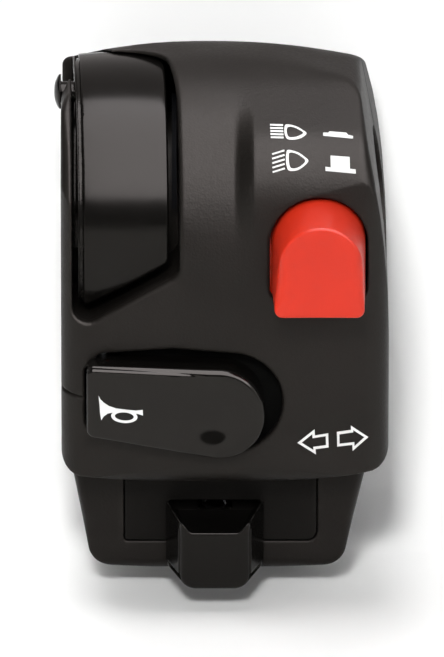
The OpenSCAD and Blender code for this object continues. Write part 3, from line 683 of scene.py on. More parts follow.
WARM = (1.0, 0.94, 0.87)
FINISHES: dict[Slot, Finish] = {
    Slot.CASING: Finish("casing_grained_black", (0.0055, 0.0046, 0.0039), (0.0078, 0.0066, 0.0056), 0.44, 0.06,
                        3400.0, 2.2e-5, wear=0.25, worn=(0.03, 0.027, 0.024), ior=1.285, gloss_tint=WARM),
    Slot.CASING_REAR: Finish("rear_grained_black", (0.005, 0.0042, 0.0036), (0.0072, 0.006, 0.0052), 0.46, 0.06,
                             3400.0, 2.2e-5, wear=0.25, worn=(0.03, 0.027, 0.024), dust=0.002, ior=1.25,
                             gloss_tint=WARM),
    Slot.LEVER: Finish("lever_gloss_black", (0.003, 0.0027, 0.0024), (0.0042, 0.0038, 0.0034), 0.2, 0.02, 900.0, 2e-6,
                       wear=0.2, worn=(0.03, 0.028, 0.026), dust=0.003, ior=1.27, gloss_tint=WARM),
    Slot.HORN: Finish("horn_gloss_black", (0.003, 0.0027, 0.0024), (0.0042, 0.0038, 0.0034), 0.12, 0.02, 700.0, 1.5e-6,
                      wear=0.2, worn=(0.03, 0.028, 0.026), dust=0.002, ior=1.34, gloss_tint=WARM),
    Slot.KNOB: Finish("knob_satin_black", (0.0024, 0.0022, 0.002), (0.0034, 0.0031, 0.0028), 0.2, 0.03, 1200.0, 3e-6,
                      wear=0.5, worn=(0.09, 0.083, 0.076), dust=0.003, ior=1.25, gloss_tint=WARM),
    Slot.PANEL: Finish("panel_matt_black", (0.0028, 0.0025, 0.0022), (0.004, 0.0036, 0.0032), 0.5, 0.06, 3000.0, 1.6e-5,
                       wear=0.2, worn=(0.024, 0.022, 0.02), dust=0.003, ior=1.19, gloss_tint=WARM),
    Slot.RED_BUTTON: Finish("button_red", (0.64, 0.027, 0.008), (0.59, 0.024, 0.007), 0.34, 0.04, 1800.0, 4e-6,
                            wear=0.3, worn=(0.8, 0.13, 0.08), ior=1.35),
    Slot.PALE_PLASTIC: Finish("pale_moulding", (0.6, 0.58, 0.52), (0.54, 0.52, 0.46), 0.45, 0.05, 2200.0, 8e-6,
                              wear=0.1, worn=(0.7, 0.68, 0.62)),
    Slot.BOARD: Finish("pressed_board", (0.12, 0.075, 0.045), (0.17, 0.11, 0.07), 0.6, 0.08, 1500.0, 2e-5,
                       wear=0.1, worn=(0.25, 0.18, 0.12)),
    Slot.BRASS: Finish("strip_brass", (0.72, 0.5, 0.2), (0.55, 0.36, 0.14), 0.3, 0.08, 900.0, 4e-6, metal=1.0,
                       wear=0.2, worn=(0.85, 0.66, 0.34), lined=True),
    Slot.STEEL: Finish("zinc_steel", (0.5, 0.51, 0.52), (0.4, 0.41, 0.43), 0.33, 0.1, 1000.0, 5e-6, metal=1.0,
                       wear=0.3, worn=(0.66, 0.66, 0.66), lined=True),
    Slot.SPRING_STEEL: Finish("drawn_steel", (0.58, 0.58, 0.6), (0.45, 0.45, 0.47), 0.27, 0.08, 1400.0, 4e-6, metal=1.0,
                              wear=0.2, worn=(0.7, 0.7, 0.72), lined=True),
    Slot.RUBBER: Finish("gland_rubber", (0.012, 0.012, 0.012), (0.02, 0.02, 0.02), 0.75, 0.06, 1600.0, 1.5e-5,
                        wear=0.2, worn=(0.05, 0.05, 0.05), dust=0.006),
}
# Painted shade: near black with almost no reflection, so the lever's friction spring in the gap beside the lever reads
# as deep shadow.
SPRING_SHADE = Finish("spring_painted_shade", (0.003, 0.003, 0.0035), (0.0045, 0.0045, 0.005), 0.6, 0.06, 1400.0, 4e-6,
               wear=0.0, lined=True, ior=1.1)
# Painted shade: near black with almost no reflection, so the horn paddle's skirt in the pocket's gap reads as deep
# shadow.
SKIRT_SHADE = Finish("skirt_painted_shade", (0.002, 0.002, 0.0018), (0.003, 0.003, 0.0027), 0.7, 0.05, 2600.0, 8e-6,
               wear=0.0, ior=1.1)
SIGN_FINISH = Finish("sign_white", (0.84, 0.84, 0.83), (0.78, 0.78, 0.77), 0.5, 0.06, 2600.0, 6e-6, wear=0.0, ior=1.3)


@dataclass
class Palette:
    """The materials of all finishes.

    Attributes:
        slots: material of each slot.
        sign: the white of the printed signs.
        spring_shade: near-black, barely reflecting finish of the lever's friction spring, painted shade for the gap
            beside the lever.
        skirt: near-black, barely reflecting finish of the horn paddle's skirt, painted shade for the pocket's gap round
            the paddle.
    """

    slots: dict[Slot, bpy.types.Material]
    sign: bpy.types.Material
    spring_shade: bpy.types.Material
    skirt: bpy.types.Material

    @classmethod
    def make(cls) -> "Palette":
        """Builds every material once."""
        groups = ShaderGroups()
        return cls({slot: f.make(groups) for slot, f in FINISHES.items()}, SIGN_FINISH.make(groups), SPRING_SHADE.make(groups),
                   SKIRT_SHADE.make(groups))


def place_piece(mesh: bpy.types.Mesh, name: str, body: Body, material: bpy.types.Material,
                stands_for: Sequence[str] = ()) -> bpy.types.Object:
    """Makes a mesh a piece of the part.

    Args:
        mesh: the piece's mesh, in metres in the CAD frame.
        name: the piece's name.
        body: the body that it moves with.
        material: its material.
        stands_for: CAD nodes that it replaces.

    Returns:
        The piece.
    """
    mesh.materials.clear()
    mesh.materials.append(material)
    piece = bpy.data.objects.new(name, mesh)
    bpy.context.scene.collection.objects.link(piece)
    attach(piece, body.value)
    if stands_for:
        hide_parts(*stands_for)
    LOG.info("%s: %d faces on %s", name, len(mesh.polygons), body.value)
    return piece


# Casing


@dataclass
class Casing:
    """The two half shells round the handlebar, in millimetres."""

    half_w: float = 23.99
    wall: float = 2.0
    face_y: float = -24.5
    round_r: float = 25.2
    round_drop: float = 2.0
    shoulder_r: float = 12.0
    shoulder_z: float = 6.4
    shoulder_x: float = 4.1
    shoulder_wall_w: float = 2.3
    crown_r: float = 94.0
    crown_right_r: float = 112.0
    crown_lean: float = 20.0
    crown_x: float = -2.5
    crown_peak: float = 23.45
    face_crown_r: float = 200.0
    side_r: float = 138.0
    insert_hole_r: float = 2.92
    shank_hole_r: float = 2.15
    head_hole_r: float = 3.7
    head_seat: float = 8.4
    post_r: float = 2.0
    front_boss_r: float = 3.5
    rear_boss_r: float = 4.9
    grommet_at: Point = (2.0, 0.2)
    grommet_r: float = 4.0
    guide_at: Point = (-8.5, 1.0)
    guide_r: float = 3.02
    block_floor: Point = (-54.0, -49.2)
    seam_ends: tuple[Point, Point] = ((-25.0, -21.5), (-20.0, -22.5))
    seam_r: float = 0.17
    flush_r: float = 22.45
    flush_rise: float = 0.2
    flush_y: float = 4.0
    side_z: float = -14.0
    rim_z: float = -36.2
    rim_r: float = 4.0
    rim_curve_r: float = 110.0
    rim_shift: float = 2.0
    corner_r: float = 3.0
    face_edge_r: float = 4.0
    back_r: float = 23.54
    block_y: float = -16.5
    block_z: float = -52.2
    block_left: float = -20.2
    block_right: float = 17.9
    block_corner_r: float = 4.0
    block_bow: float = 0.6
    taper_left_z: float = -28.0
    taper_right_z: float = -22.0
    bar_r: float = 11.0
    sleeve_r: float = 13.0
    split_tilt: float = 25.0
    clamp_gap: float = 0.4
    upper_screw: Point = (8.0, 17.9)
    lower_screw: Point = (14.0, -24.0)
    step: float = 0.2

    def crown_z(self, x: float) -> float:
        """Gives the height of the crowned top."""
        return self.round_r - self.round_drop + 0.1 - x * x / (2 * self.crown_r)

    def side_x(self, z: float) -> float:
        """Gives the place of the leaning right side."""
        return self.half_w - max(z - self.side_z, 0) ** 2 / (2 * self.side_r)

    def rim_at(self, x: float) -> float:
        """Gives the height of the front shell's lower edge."""
        return self.rim_z - 0.1 + (x + self.rim_shift) ** 2 / (2 * self.rim_curve_r)

    def upper_chain(self) -> list[Circle]:
        """Gives the circles of the upper outline in front view."""
        r, edge = self.corner_r, self.half_w
        top = self.crown_z(edge * 0.7) - r
        right = [(self.side_x(z) - r, z, r) for z in (self.side_z, -7.0, 0.0, 5.0, 10.0)]
        crown = [(x, self.crown_z(x) - r, r) for x in (15.0, 10.0, 5.0, 0.0, -5.0, -10.0, -15.0)]
        left = -edge + r
        return [*right, (self.side_x(top) - r, top, r), *crown, (left, self.crown_z(left) - r, r)]

    def front_chain(self) -> list[Circle]:
        """Gives the circles of the front shell's outline in front view."""
        r, edge = self.corner_r, self.half_w
        low = [(x, self.rim_at(x) + r, r) for x in (-edge + r, -14.0, -7.0, 0.0, 7.0, 14.0, edge - r)]
        return [*low, *self.upper_chain()]

    def rear_chain(self) -> list[Circle]:
        """Gives the circles of the rear shell's outline in front view."""
        r, edge, c = self.corner_r, self.half_w, self.block_corner_r
        foot = [(self.block_left + c, self.block_bow), (-9.0, 0.0), (6.0, 0.0), (self.block_right - c, self.block_bow)]
        return [*[(x, self.block_z + c + lift, c) for x, lift in foot],
                (edge - r, self.taper_right_z, r), *self.upper_chain(), (-edge + r, self.taper_left_z, r)]

    def plan_chain(self) -> list[Circle]:
        """Gives the circles of the casing's outline seen from above."""
        r, edge = self.face_edge_r, self.half_w
        front = [(x, self.face_y - 0.1 + x * x / (2 * self.face_crown_r) + r, r)
                 for x in (-edge + r, -15.0, -10.0, -5.0, 0.0, 5.0, 10.0, 15.0, edge - r)]
        return [*front, (edge - r, self.back_r + r, r), (-edge + r, self.back_r + r, r)]

    def under_crown(self, body: Array, x: Array, y: Array, z: Array) -> Array:
        """Cuts a body off under the crown, which leans away from the rider.

        Args:
            body: the body's field.
            x: place along the handlebar.
            y: place from the rider.
            z: height.

        Returns:
            The field of what is left.
        """
        lean = math.radians(self.crown_lean)
        up = y * math.sin(lean) + z * math.cos(lean)
        right = x > self.crown_x
        bow = np.where(right, self.crown_right_r, self.crown_r)
        crown = np.hypot(x - self.crown_x, up - self.crown_peak + bow) - bow
        r = (np.where(right, 0.7, 0.9) * smooth(np.abs(x - self.crown_x), 7.0, 18.0)).astype(np.float32)
        return meet(body, crown.astype(np.float32), r)

    def split(self, y: Array, z: Array) -> Array:
        """Gives the distance from the plane where the shells meet, growing into the rear shell."""
        tilt = math.radians(self.split_tilt)
        return y * math.cos(tilt) - z * math.sin(tilt)

    def up_split(self, y: Array, z: Array) -> Array:
        """Gives the place along that plane, growing upwards."""
        tilt = math.radians(self.split_tilt)
        return y * math.sin(tilt) + z * math.cos(tilt)

    def edge_radius(self, z: Array, high: float, low: float) -> Array:
        """Gives the rounding of the side edges, which runs out towards the top and the bottom."""
        top = np.clip((20.5 - z) / 8.0, 0, 1)
        bottom = np.clip((z - low) / 5.0, 0, 1)
        return (0.35 + (high - 0.35) * np.minimum(top, bottom)).astype(np.float32)

    def front_body(self, x: Array, y: Array, z: Array) -> Array:
        """Gives the field of the front shell's outer form.

        Args:
            x: place along the handlebar.
            y: place from the rider.
            z: height.

        Returns:
            The field.
        """
        low = self.rim_z + self.rim_r
        round_chain = [(self.face_y + self.rim_r, low, self.rim_r), (0.0, low, self.rim_r),
                       (self.round_r + self.face_y, -self.round_drop, self.round_r)]
        shoulder = (self.face_y + self.shoulder_r, self.shoulder_z, self.shoulder_r)
        plain = outline(wrap(round_chain), y, z)
        boxy = outline(wrap([*round_chain, shoulder]), y, z)
        rise = eased((x - self.shoulder_x + self.shoulder_wall_w) / self.shoulder_wall_w, 0.2, 0.05).astype(np.float32)
        form = plain + rise * (boxy - plain)
        front = outline(wrap(self.front_chain()), x, z)
        plan = outline(wrap(self.plan_chain()), x, y)
        body = np.maximum(meet(form, front, self.edge_radius(z, 1.8, -33.0)), plan)
        flush = np.hypot(y, z) - self.flush_r - self.flush_rise * np.maximum(y - self.flush_y, 0)
        for along, ends in ((x, (-14.5, -9.5)), (-y, (-1.0, 3.0))):
            flush = flush - 3 * smooth(along, *ends) - 60 * smooth(along, ends[1] - 1, ends[1] + 2)
        return self.under_crown(np.maximum(body, flush.astype(np.float32)), x, y, z)

    def rear_body(self, x: Array, y: Array, z: Array) -> Array:
        """Gives the field of the rear shell's outer form.

        Args:
            x: place along the handlebar.
            y: place from the rider.
            z: height.

        Returns:
            The field.
        """
        chain = [(self.block_y + 2.4, self.block_z + 2.4, 2.4), (5.0, self.block_z + 4.0, 4.0), (0.0, 0.0, self.back_r)]
        form = np.maximum(outline(wrap(chain), y, z), self.block_y - y)
        front = outline(wrap(self.rear_chain()), x, z)
        return self.under_crown(meet(form, front, self.edge_radius(z, 1.5, -49.0)), x, y, z)

    def screw_holes(self, x: Array, y: Array, z: Array) -> Array:
        """Gives the field of the two clamp screws' holes.

        Args:
            x: place along the handlebar.
            y: place from the rider.
            z: height.

        Returns:
            The field.
        """
        across, along = self.up_split(y, z), self.split(y, z)
        holes = None
        for at in (self.upper_screw, self.lower_screw):
            off = np.hypot(x - at[0], across - at[1])
            one = np.maximum(off - self.insert_hole_r, span(along, -7.9, 0.0))
            one = np.minimum(one, np.maximum(off - self.shank_hole_r, span(along, -0.1, self.head_seat + 0.1)))
            one = np.minimum(one, np.maximum(off - self.head_hole_r, self.head_seat - along))
            holes = one if holes is None else np.minimum(holes, one)
        return holes

    def bosses(self, x: Array, y: Array, z: Array, r: float) -> Array:
        """Gives the field of the columns round the clamp screws."""
        across = self.up_split(y, z)
        return np.minimum(*[np.hypot(x - a[0], across - a[1]) - r for a in (self.upper_screw, self.lower_screw)])

    def front_shell(self, lever: "ChokeLever", light: "LightButton", horn: "HornPaddle") -> bpy.types.Mesh:
        """Builds the rider's half of the casing.

        Args:
            lever: the choke lever, for its recess.
            light: the light button, for its opening.
            horn: the horn paddle, for its pocket.

        Returns:
            The mesh.
        """
        space = Space((-24.8, -25.6, -37.2), (24.8, 11.0, 24.2), self.step)
        x, y, z = space.axes()
        outer = self.front_body(x, y, z)
        bar = np.hypot(y, z)
        split = self.split(y, z) + self.clamp_gap / 2
        shell = cut(meet(outer, split, 0.1), outer + self.wall)
        recess = lever.recess(x, y, z)
        posts = np.minimum(bar - self.sleeve_r, np.maximum(recess - 1.6, -recess))
        posts = np.minimum(posts, self.bosses(x, y, z, self.front_boss_r))
        for at, back in ((light.screws()[0], -15.1), (light.screws()[1], -15.1), *((p, -17.0) for p in horn.screws)):
            posts = np.minimum(posts, rod(x, z, y, at, self.post_r, (-26.0, back)))
        for low, high in ((-30.8, -28.2), (-15.4, -12.8)):
            posts = np.minimum(posts, box((x, y, z), (-20.4, -26.0, low), (-16.0, -18.4, high)))
        shell = np.minimum(shell, np.maximum(np.maximum(posts, outer + 0.6), split))
        shell = cut(shell, bar - self.bar_r)
        open_lever = np.maximum(np.maximum(recess, outline(lever.recess_top(), x, y)), self.sleeve_r - bar)
        mouth = 0.25 + 0.4 * smooth(-y, -1.0, 8.0)
        shell = cut(shell, open_lever, mouth.astype(np.float32))
        shell = cut(shell, lever.pocket(x, y, z, bar))
        shell = cut(shell, lever.nub_slot(x, y, z, bar), 0.3)
        shell = cut(shell, np.maximum(outline(wrap(light.root_chain(), 0.3), x, z), y + 19.5), 0.25)
        shell = cut(shell, np.maximum(outline(wrap(horn.pocket_chain()), x, z), y + 21.5), 0.5)
        shell = cut(shell, rod(x, y, z, (horn.pin_x, horn.pin_y), 1.02, (-29.3, -13.0)))
        shell = cut(shell, self.screw_holes(x, y, z))
        seam = self.seam(x, z)
        shell = cut(shell, np.maximum(seam, -(outer + 0.4)), 0.08)
        return mesh_of("front_shell_moulding", space, shell)

    def seam(self, x: Array, z: Array) -> Array:
        """Gives the field of the fine seam left of the horn pocket."""
        ends = np.array(self.seam_ends)
        d = ends[1] - ends[0]
        t = np.clip(((x - ends[0][0]) * d[0] + (z - ends[0][1]) * d[1]) / (d @ d), 0, 1)
        return np.hypot(x - ends[0][0] - t * d[0], z - ends[0][1] - t * d[1]) - self.seam_r

    def rear_shell(self, lever: "ChokeLever", panel: "TurnPanel") -> bpy.types.Mesh:
        """Builds the far half of the casing with its lower block.

        Args:
            lever: the choke lever, for its pocket.
            panel: the insert panel, for its opening.

        Returns:
            The mesh.
        """
        space = Space((-24.8, -17.4, -53.0), (24.8, 24.4, 24.2), self.step)
        x, y, z = space.axes()
        outer = self.rear_body(x, y, z)
        bar = np.hypot(y, z)
        split = self.clamp_gap / 2 - self.split(y, z)
        shell = cut(meet(outer, split, 0.1), outer + self.wall)
        shell = cut(shell, np.maximum(np.maximum(span(x, -20.5, 19.0), span(y, -17.0, -14.4)), span(z, -34.2, -29.0)))
        posts = np.minimum(bar - self.sleeve_r, np.maximum(self.bosses(x, y, z, self.rear_boss_r), -self.split(y, z)))
        for at in panel.screws:
            posts = np.minimum(posts, rod(x, z, y, at, self.post_r, (-5.25, 30.0)))
        shell = np.minimum(shell, np.maximum(np.maximum(posts, outer + 0.6), split))
        shell = cut(shell, bar - self.bar_r)
        shell = cut(shell, lever.pocket(x, y, z, bar))
        shell = cut(shell, lever.nub_slot(x, y, z, bar), 0.3)
        shell = cut(shell, self.screw_holes(x, y, z), 0.3)
        shell = cut(shell, np.maximum(panel.opening(x, z), y + 13.5), 0.12)
        for at, r in ((self.grommet_at, self.grommet_r), (self.guide_at, self.guide_r)):
            shell = cut(shell, rod(x, y, z, at, r, self.block_floor))
        return mesh_of("rear_shell_moulding", space, shell)

    def build(self, palette: Palette, lever: "ChokeLever", light: "LightButton", horn: "HornPaddle",
              panel: "TurnPanel") -> bpy.types.Object:
        """Builds and dresses both shells.

        Args:
            palette: the materials.
            lever: the choke lever.
            light: the light button.
            horn: the horn paddle.
            panel: the insert panel.

        Returns:
            The front shell's piece.
        """
        front = place_piece(self.front_shell(lever, light, horn), "front_shell_moulding", Body.CASING,
                            palette.slots[Slot.CASING], ["front_shell"])
        place_piece(self.rear_shell(lever, panel), "rear_shell_moulding", Body.CASING,
                    palette.slots[Slot.CASING_REAR], ["rear_shell"])
        return front


# Controls


@dataclass
class ChokeLever:
    """The curved paddle that turns about the handlebar, in millimetres."""

    r: float = 21.7
    thick: float = 2.2
    left: float = -21.7
    right: float = -8.9
    low_z: float = -9.2
    high_z: float = -2.9
    lip_w: float = 0.55
    lip_h: float = 0.25
    top_y: float = 4.6
    tail_x: float = -18.5
    tail_y: float = 7.0
    corner_w: float = 4.6
    corner_tall: float = 7.0
    pocket_r: float = 22.1
    hub_in_r: float = 13.06
    hub_out_r: float = 15.15
    web_w: float = 1.5
    lip_end: float = 3.1
    gap: float = 1.5
    slant: float = 0.035
    nub_r: float = 2.6
    stem_r: float = 1.5
    slot_end: float = 10.5
    nub_at: float = 18.6
    nub_angle: float = 78.5
    nub_end: float = -25.1
    bulge: float = 0.18
    lip_line: float = 0.28
    step: float = 0.11

    def chain(self) -> list[Circle]:
        """Gives the circles of the paddle's outline in front view."""
        return [(self.left + 0.8, self.low_z + 0.8, 0.8), (self.right - 1.6, self.high_z + 1.6, 1.6),
                (self.right - 1.6, FAR, 1.6), (self.left + 0.8, FAR, 0.8)]

    def recess(self, x: Array, y: Array, z: Array) -> Array:
        """Gives the field of the recess round the paddle, whose sides lean with the paddle's."""
        return meet(slanted(outline(wrap(self.chain(), self.gap), x, z), x, y, self.slant), -22.5 - x, 0.5)

    def recess_top(self) -> Array:
        """Gives the outline, seen from above, of the recess's rounded upper end."""
        side = [(-6.6, -FAR), (-6.65, -22.0), (-6.75, -16.0), (-6.95, -12.0), (-7.3, -8.5), (-7.6, -6.5), (-7.95, -4.6)]
        bend = [(-8.25, -2.9), (-8.6, -1.8), (-9.3, -0.7), (-10.3, 0.4), (-11.5, 1.3), (-13.0, 2.3), (-14.5, 3.0),
                (-16.5, 3.6)]
        return np.array([(-FAR, -FAR), *side, *bend, (-18.5, 4.0), (-FAR, 4.0)])

    def pocket(self, x: Array, y: Array, z: Array, bar: Array) -> Array:
        """Gives the field of the room that the lever turns into."""
        angle = np.arctan2(z, -y)
        ring = ring_sector(bar, np.where(angle < -1.6, angle + math.tau, angle), 12.8, self.pocket_r, 60.0, 171.0)
        return np.maximum(np.maximum(ring, span(x, -22.4, -7.1)), 13.0 - bar)

    def nub_slot(self, x: Array, y: Array, z: Array, bar: Array) -> Array:
        """Gives the field of the slot that the nub moves in."""
        angle = np.arctan2(z, -y)
        reach = self.stem_r + 0.3
        low, high = self.nub_at - reach, self.nub_at + reach
        ring = np.maximum(ring_sector(bar, angle, low, FAR, self.nub_angle + 0.5, 170.0), y - self.slot_end)
        ring = np.minimum(ring, ring_sector(bar, angle, low, high, self.nub_angle - 7, self.nub_angle + 1))
        return np.maximum(ring, span(x, -26.0, -22.3))

    def mesh(self) -> bpy.types.Mesh:
        """Builds the lever.

        Returns:
            The mesh.
        """
        space = Space((-25.6, -22.6, -10.2), (-7.8, 10.2, 22.6), self.step)
        x, y, z = space.axes()
        bar = np.hypot(y, z)
        angle = np.arctan2(z, -y)
        edge = slanted(outline(wrap(self.chain()), x, z), x, y, self.slant)
        corner = round_corner(self.right, self.top_y, self.corner_w, self.corner_tall)
        leaning = x + self.slant * y
        plan = outline(np.array([*corner[:-1], (self.tail_x, self.tail_y), (-FAR, self.tail_y)]), leaning, y)
        flank = np.maximum(np.where(y < 8, edge, 9.0), plan)
        middle = (self.left + self.right) / 2
        skin = meet(bar - self.r - self.bulge + 0.0085 * (x - middle) ** 2, flank, 0.4)
        paddle = np.maximum(skin, self.r - self.thick - bar)
        lip_left = self.left - self.lip_w
        lip = np.maximum(span(leaning, lip_left, self.left + 0.1), np.maximum(y - self.lip_end, self.low_z + 1.2 - z))
        lip = meet(bar - self.r - self.lip_h * smooth(z, 20.0, 14.0), lip, 0.25)
        lip = np.maximum(lip, self.r - self.thick + 0.1 - bar)
        lever = np.minimum(paddle, lip)
        groove = np.maximum(span(leaning, lip_left + self.lip_line, self.left + 0.32), self.r - 0.8 - bar)
        lever = cut(lever, groove, 0.14)
        for low in (self.left, self.right - self.web_w):
            web = ring_sector(bar, angle, 15.0, self.r - self.thick + 0.2, 12.0, 94.0)
            lever = np.minimum(lever, np.maximum(web, span(x, low, low + self.web_w)))
        hub = ring_sector(bar, angle, self.hub_in_r, self.hub_out_r, -9.0, 128.0)
        lever = np.minimum(lever, np.maximum(hub, span(x, lip_left, self.right + 0.2)))
        turn = math.radians(self.nub_angle)
        nub_at = (-self.nub_at * math.cos(turn), self.nub_at * math.sin(turn))
        stem = rod(y, z, x, nub_at, self.stem_r, (self.nub_end + 0.6, -20.2))
        ball = (self.nub_r**2 + 0.64) / 1.6
        dome = np.sqrt((x - self.nub_end - ball) ** 2 + (y - nub_at[0]) ** 2 + (z - nub_at[1]) ** 2) - ball
        head = meet(rod(y, z, x, nub_at, self.nub_r, (self.nub_end, -24.06)), dome, 0.2)
        lever = np.minimum(lever, np.minimum(stem, head))
        return mesh_of("choke_lever_paddle", space, lever, 0.008)

    def build(self, palette: Palette) -> bpy.types.Object:
        """Builds and dresses the lever."""
        return place_piece(self.mesh(), "choke_lever_paddle", Body.CHOKE,
                           palette.slots[Slot.LEVER], ["choke_lever"])


@dataclass
class LightButton:
    """The red push button, in millimetres."""

    x: float = 13.65
    w: float = 13.7
    top: float = 8.5
    low: float = -6.6
    fall: float = 1.2
    face_y: float = -33.0
    skirt_y: float = -22.5
    root_y: float = -20.5
    press_h: float = 0.55
    step: float = 0.1

    def root_chain(self) -> list[Circle]:
        """Gives the circles of the outline where the button leaves the face."""
        half = self.w / 2
        return [(self.x - half + 1.2, self.low + 1.2, 1.2), (self.x + half - 1.2, self.low + 1.2, 1.2),
                (self.x, self.top - half, half)]

    def face_chain(self) -> list[Circle]:
        """Gives the circles of the outline of the button's face."""
        half = self.w / 2
        return [(self.x - half + 1.6, self.low + 1.2, 1.2), (self.x + half - 1.4, self.low + 1.2, 1.2),
                (self.x + 0.3, self.top - self.fall - half + 0.8, half - 0.8)]

    def screws(self) -> list[Point]:
        """Gives the places of the switch base's screws."""
        return [(self.x - 5.05, -10.6), (self.x + 5.05, -10.6)]

    def mesh(self) -> bpy.types.Mesh:
        """Builds the button.

        Returns:
            The mesh.
        """
        space = Space((6.2, -33.6, -7.8), (21.2, -20.0, 10.4), self.step)
        x, y, z = space.axes()
        root = outline(wrap(self.root_chain()), x, z)
        face = outline(wrap(self.face_chain()), x, z)
        out = np.clip((y - self.skirt_y) / (self.face_y - self.skirt_y), 0, 1)
        sides = root + out * (face - root)
        press = self.press_h * np.exp(-((x - self.x) ** 2 + (z - self.low - 5.5) ** 2) / 4.4**2)
        soft = smooth(z, 4.5, 0.5) * smooth(z, -6.0, -3.0)
        button = meet(sides, self.face_y + press - y, (0.42 + 0.9 * soft).astype(np.float32))
        button = np.maximum(button, y - self.root_y)
        flange = np.maximum(root - 0.7, span(y, self.root_y - 1, self.root_y))
        flange = np.maximum(flange, x - self.x - self.w / 2 + 0.4)
        button = np.minimum(button, flange)
        button = cut(button, rod(x, z, y, (self.x, 1.0), 4.2, (self.face_y + 2, self.root_y + 1)))
        return mesh_of("light_button_cap", space, button, 0.01)

    def build(self, palette: Palette) -> bpy.types.Object:
        """Builds and dresses the button."""
        return place_piece(self.mesh(), "light_button_cap", Body.LIGHT,
                           palette.slots[Slot.RED_BUTTON], ["light_button"])


@dataclass
class HornPaddle:
    """The rocking horn paddle with its finger dish, in millimetres."""

    left: float = -20.2
    x: float = -0.5
    z: float = -24.0
    r: float = 6.4
    face_y: float = -27.8
    root_y: float = -20.6
    dish_r: float = 4.6
    dish_h: float = 0.68
    pin_x: float = -18.2
    pin_y: float = -20.4
    screws: tuple[Point, ...] = ((-17.2, -30.8), (7.1, -31.0))
    step: float = 0.1

    def chain(self) -> list[Circle]:
        """Gives the circles of the paddle's outline."""
        return [(self.left + 1.2, self.z - 1.9, 1.2), (self.x - 0.5, self.z + 0.5, self.r + 0.45),
                (self.left + 1.0, self.z + 6.8, 1.0)]

    def crest_chain(self) -> list[Circle]:
        """Gives the circles of the raised front's outline, which drops away from the upper edge."""
        return [(self.left + 1.2, self.z - 1.9, 1.2), (self.x - 0.2, self.z + 0.15, self.r + 0.1),
                (self.left + 1.0, self.z + 6.6, 1.0)]

    def pocket_chain(self) -> list[Circle]:
        """Gives the circles of the pocket's outline."""
        return [(self.left + 1.2, self.z - 1.9, 1.5), (self.x, self.z, self.r + 0.5),
                (self.x + 1.4, self.z + 1.3, 7.5), (self.x - 7.2, self.z + 1.6, 7.9),
                (self.left + 2.6, self.z + 7.2, 1.4), (self.left + 0.9, self.z + 5.6, 1.2)]

    def mesh(self) -> bpy.types.Mesh:
        """Builds the paddle.

        Returns:
            The mesh.
        """
        space = Space((-20.9, -28.4, -32.6), (8.4, -17.8, -15.6), self.step)
        x, y, z = space.axes()
        edge = outline(wrap(self.chain()), x, z)
        crest = outline(wrap(self.crest_chain()), x, z)
        off = ((x - self.x + 1.3) ** 2 + (z - self.z + 0.5) ** 2) / self.dish_r**2
        dish = self.dish_h * np.clip(1 - off, 0, 1) ** 2
        front = self.face_y + dish - y
        along = np.clip((x - self.left - 1.2) / 16.5, 0, 1)
        lower = np.maximum(front, self.face_y + 0.75 * (1 - along) - y)
        paddle = meet(edge, lower, (0.4 + 0.5 * along).astype(np.float32))
        paddle = np.minimum(paddle, meet(crest, front + 0.1 * smooth(along, 0.8, 1.0), 0.5))
        paddle = np.maximum(paddle, y - self.root_y)
        paddle = np.minimum(paddle, rod(x, y, z, (self.pin_x, self.pin_y), 2.1, (self.z - 2.2, self.z + 6.9)))
        hollow = np.maximum(outline(wrap(self.chain(), -1.8), x, z), self.pin_x + 3.6 - x)
        paddle = cut(paddle, np.maximum(hollow, self.face_y + 1.8 - y))
        paddle = cut(paddle, np.hypot(x - self.pin_x, y - self.pin_y) - 1.05)
        return mesh_of("horn_paddle", space, paddle, 0.008)

    def skirt(self) -> bpy.types.Mesh:
        """Builds the skirt that keeps the paddle in its pocket, which build dresses in painted shade.

        Returns:
            The mesh.
        """
        space = Space((-20.9, -22.4, -33.6), (9.4, -19.8, -13.6), self.step)
        x, y, z = space.axes()
        rear = outline(wrap(self.pocket_chain(), 0.8), x, z)
        rear = np.maximum(rear, -outline(wrap(self.chain(), -0.4), x, z))
        rear = np.maximum(rear, span(y, self.root_y - 1, self.root_y))
        return mesh_of("horn_paddle_skirt", space, np.maximum(rear, self.pin_x + 2.8 - x))

    def build(self, palette: Palette) -> bpy.types.Object:
        """Builds and dresses the paddle, and its skirt in a near-black painted shade."""
        # The skirt wears painted shade, so the gap round the paddle looks dark.
        place_piece(self.skirt(), "horn_paddle_skirt", Body.HORN, palette.skirt)
        return place_piece(self.mesh(), "horn_paddle", Body.HORN, palette.slots[Slot.HORN], ["horn_button"])


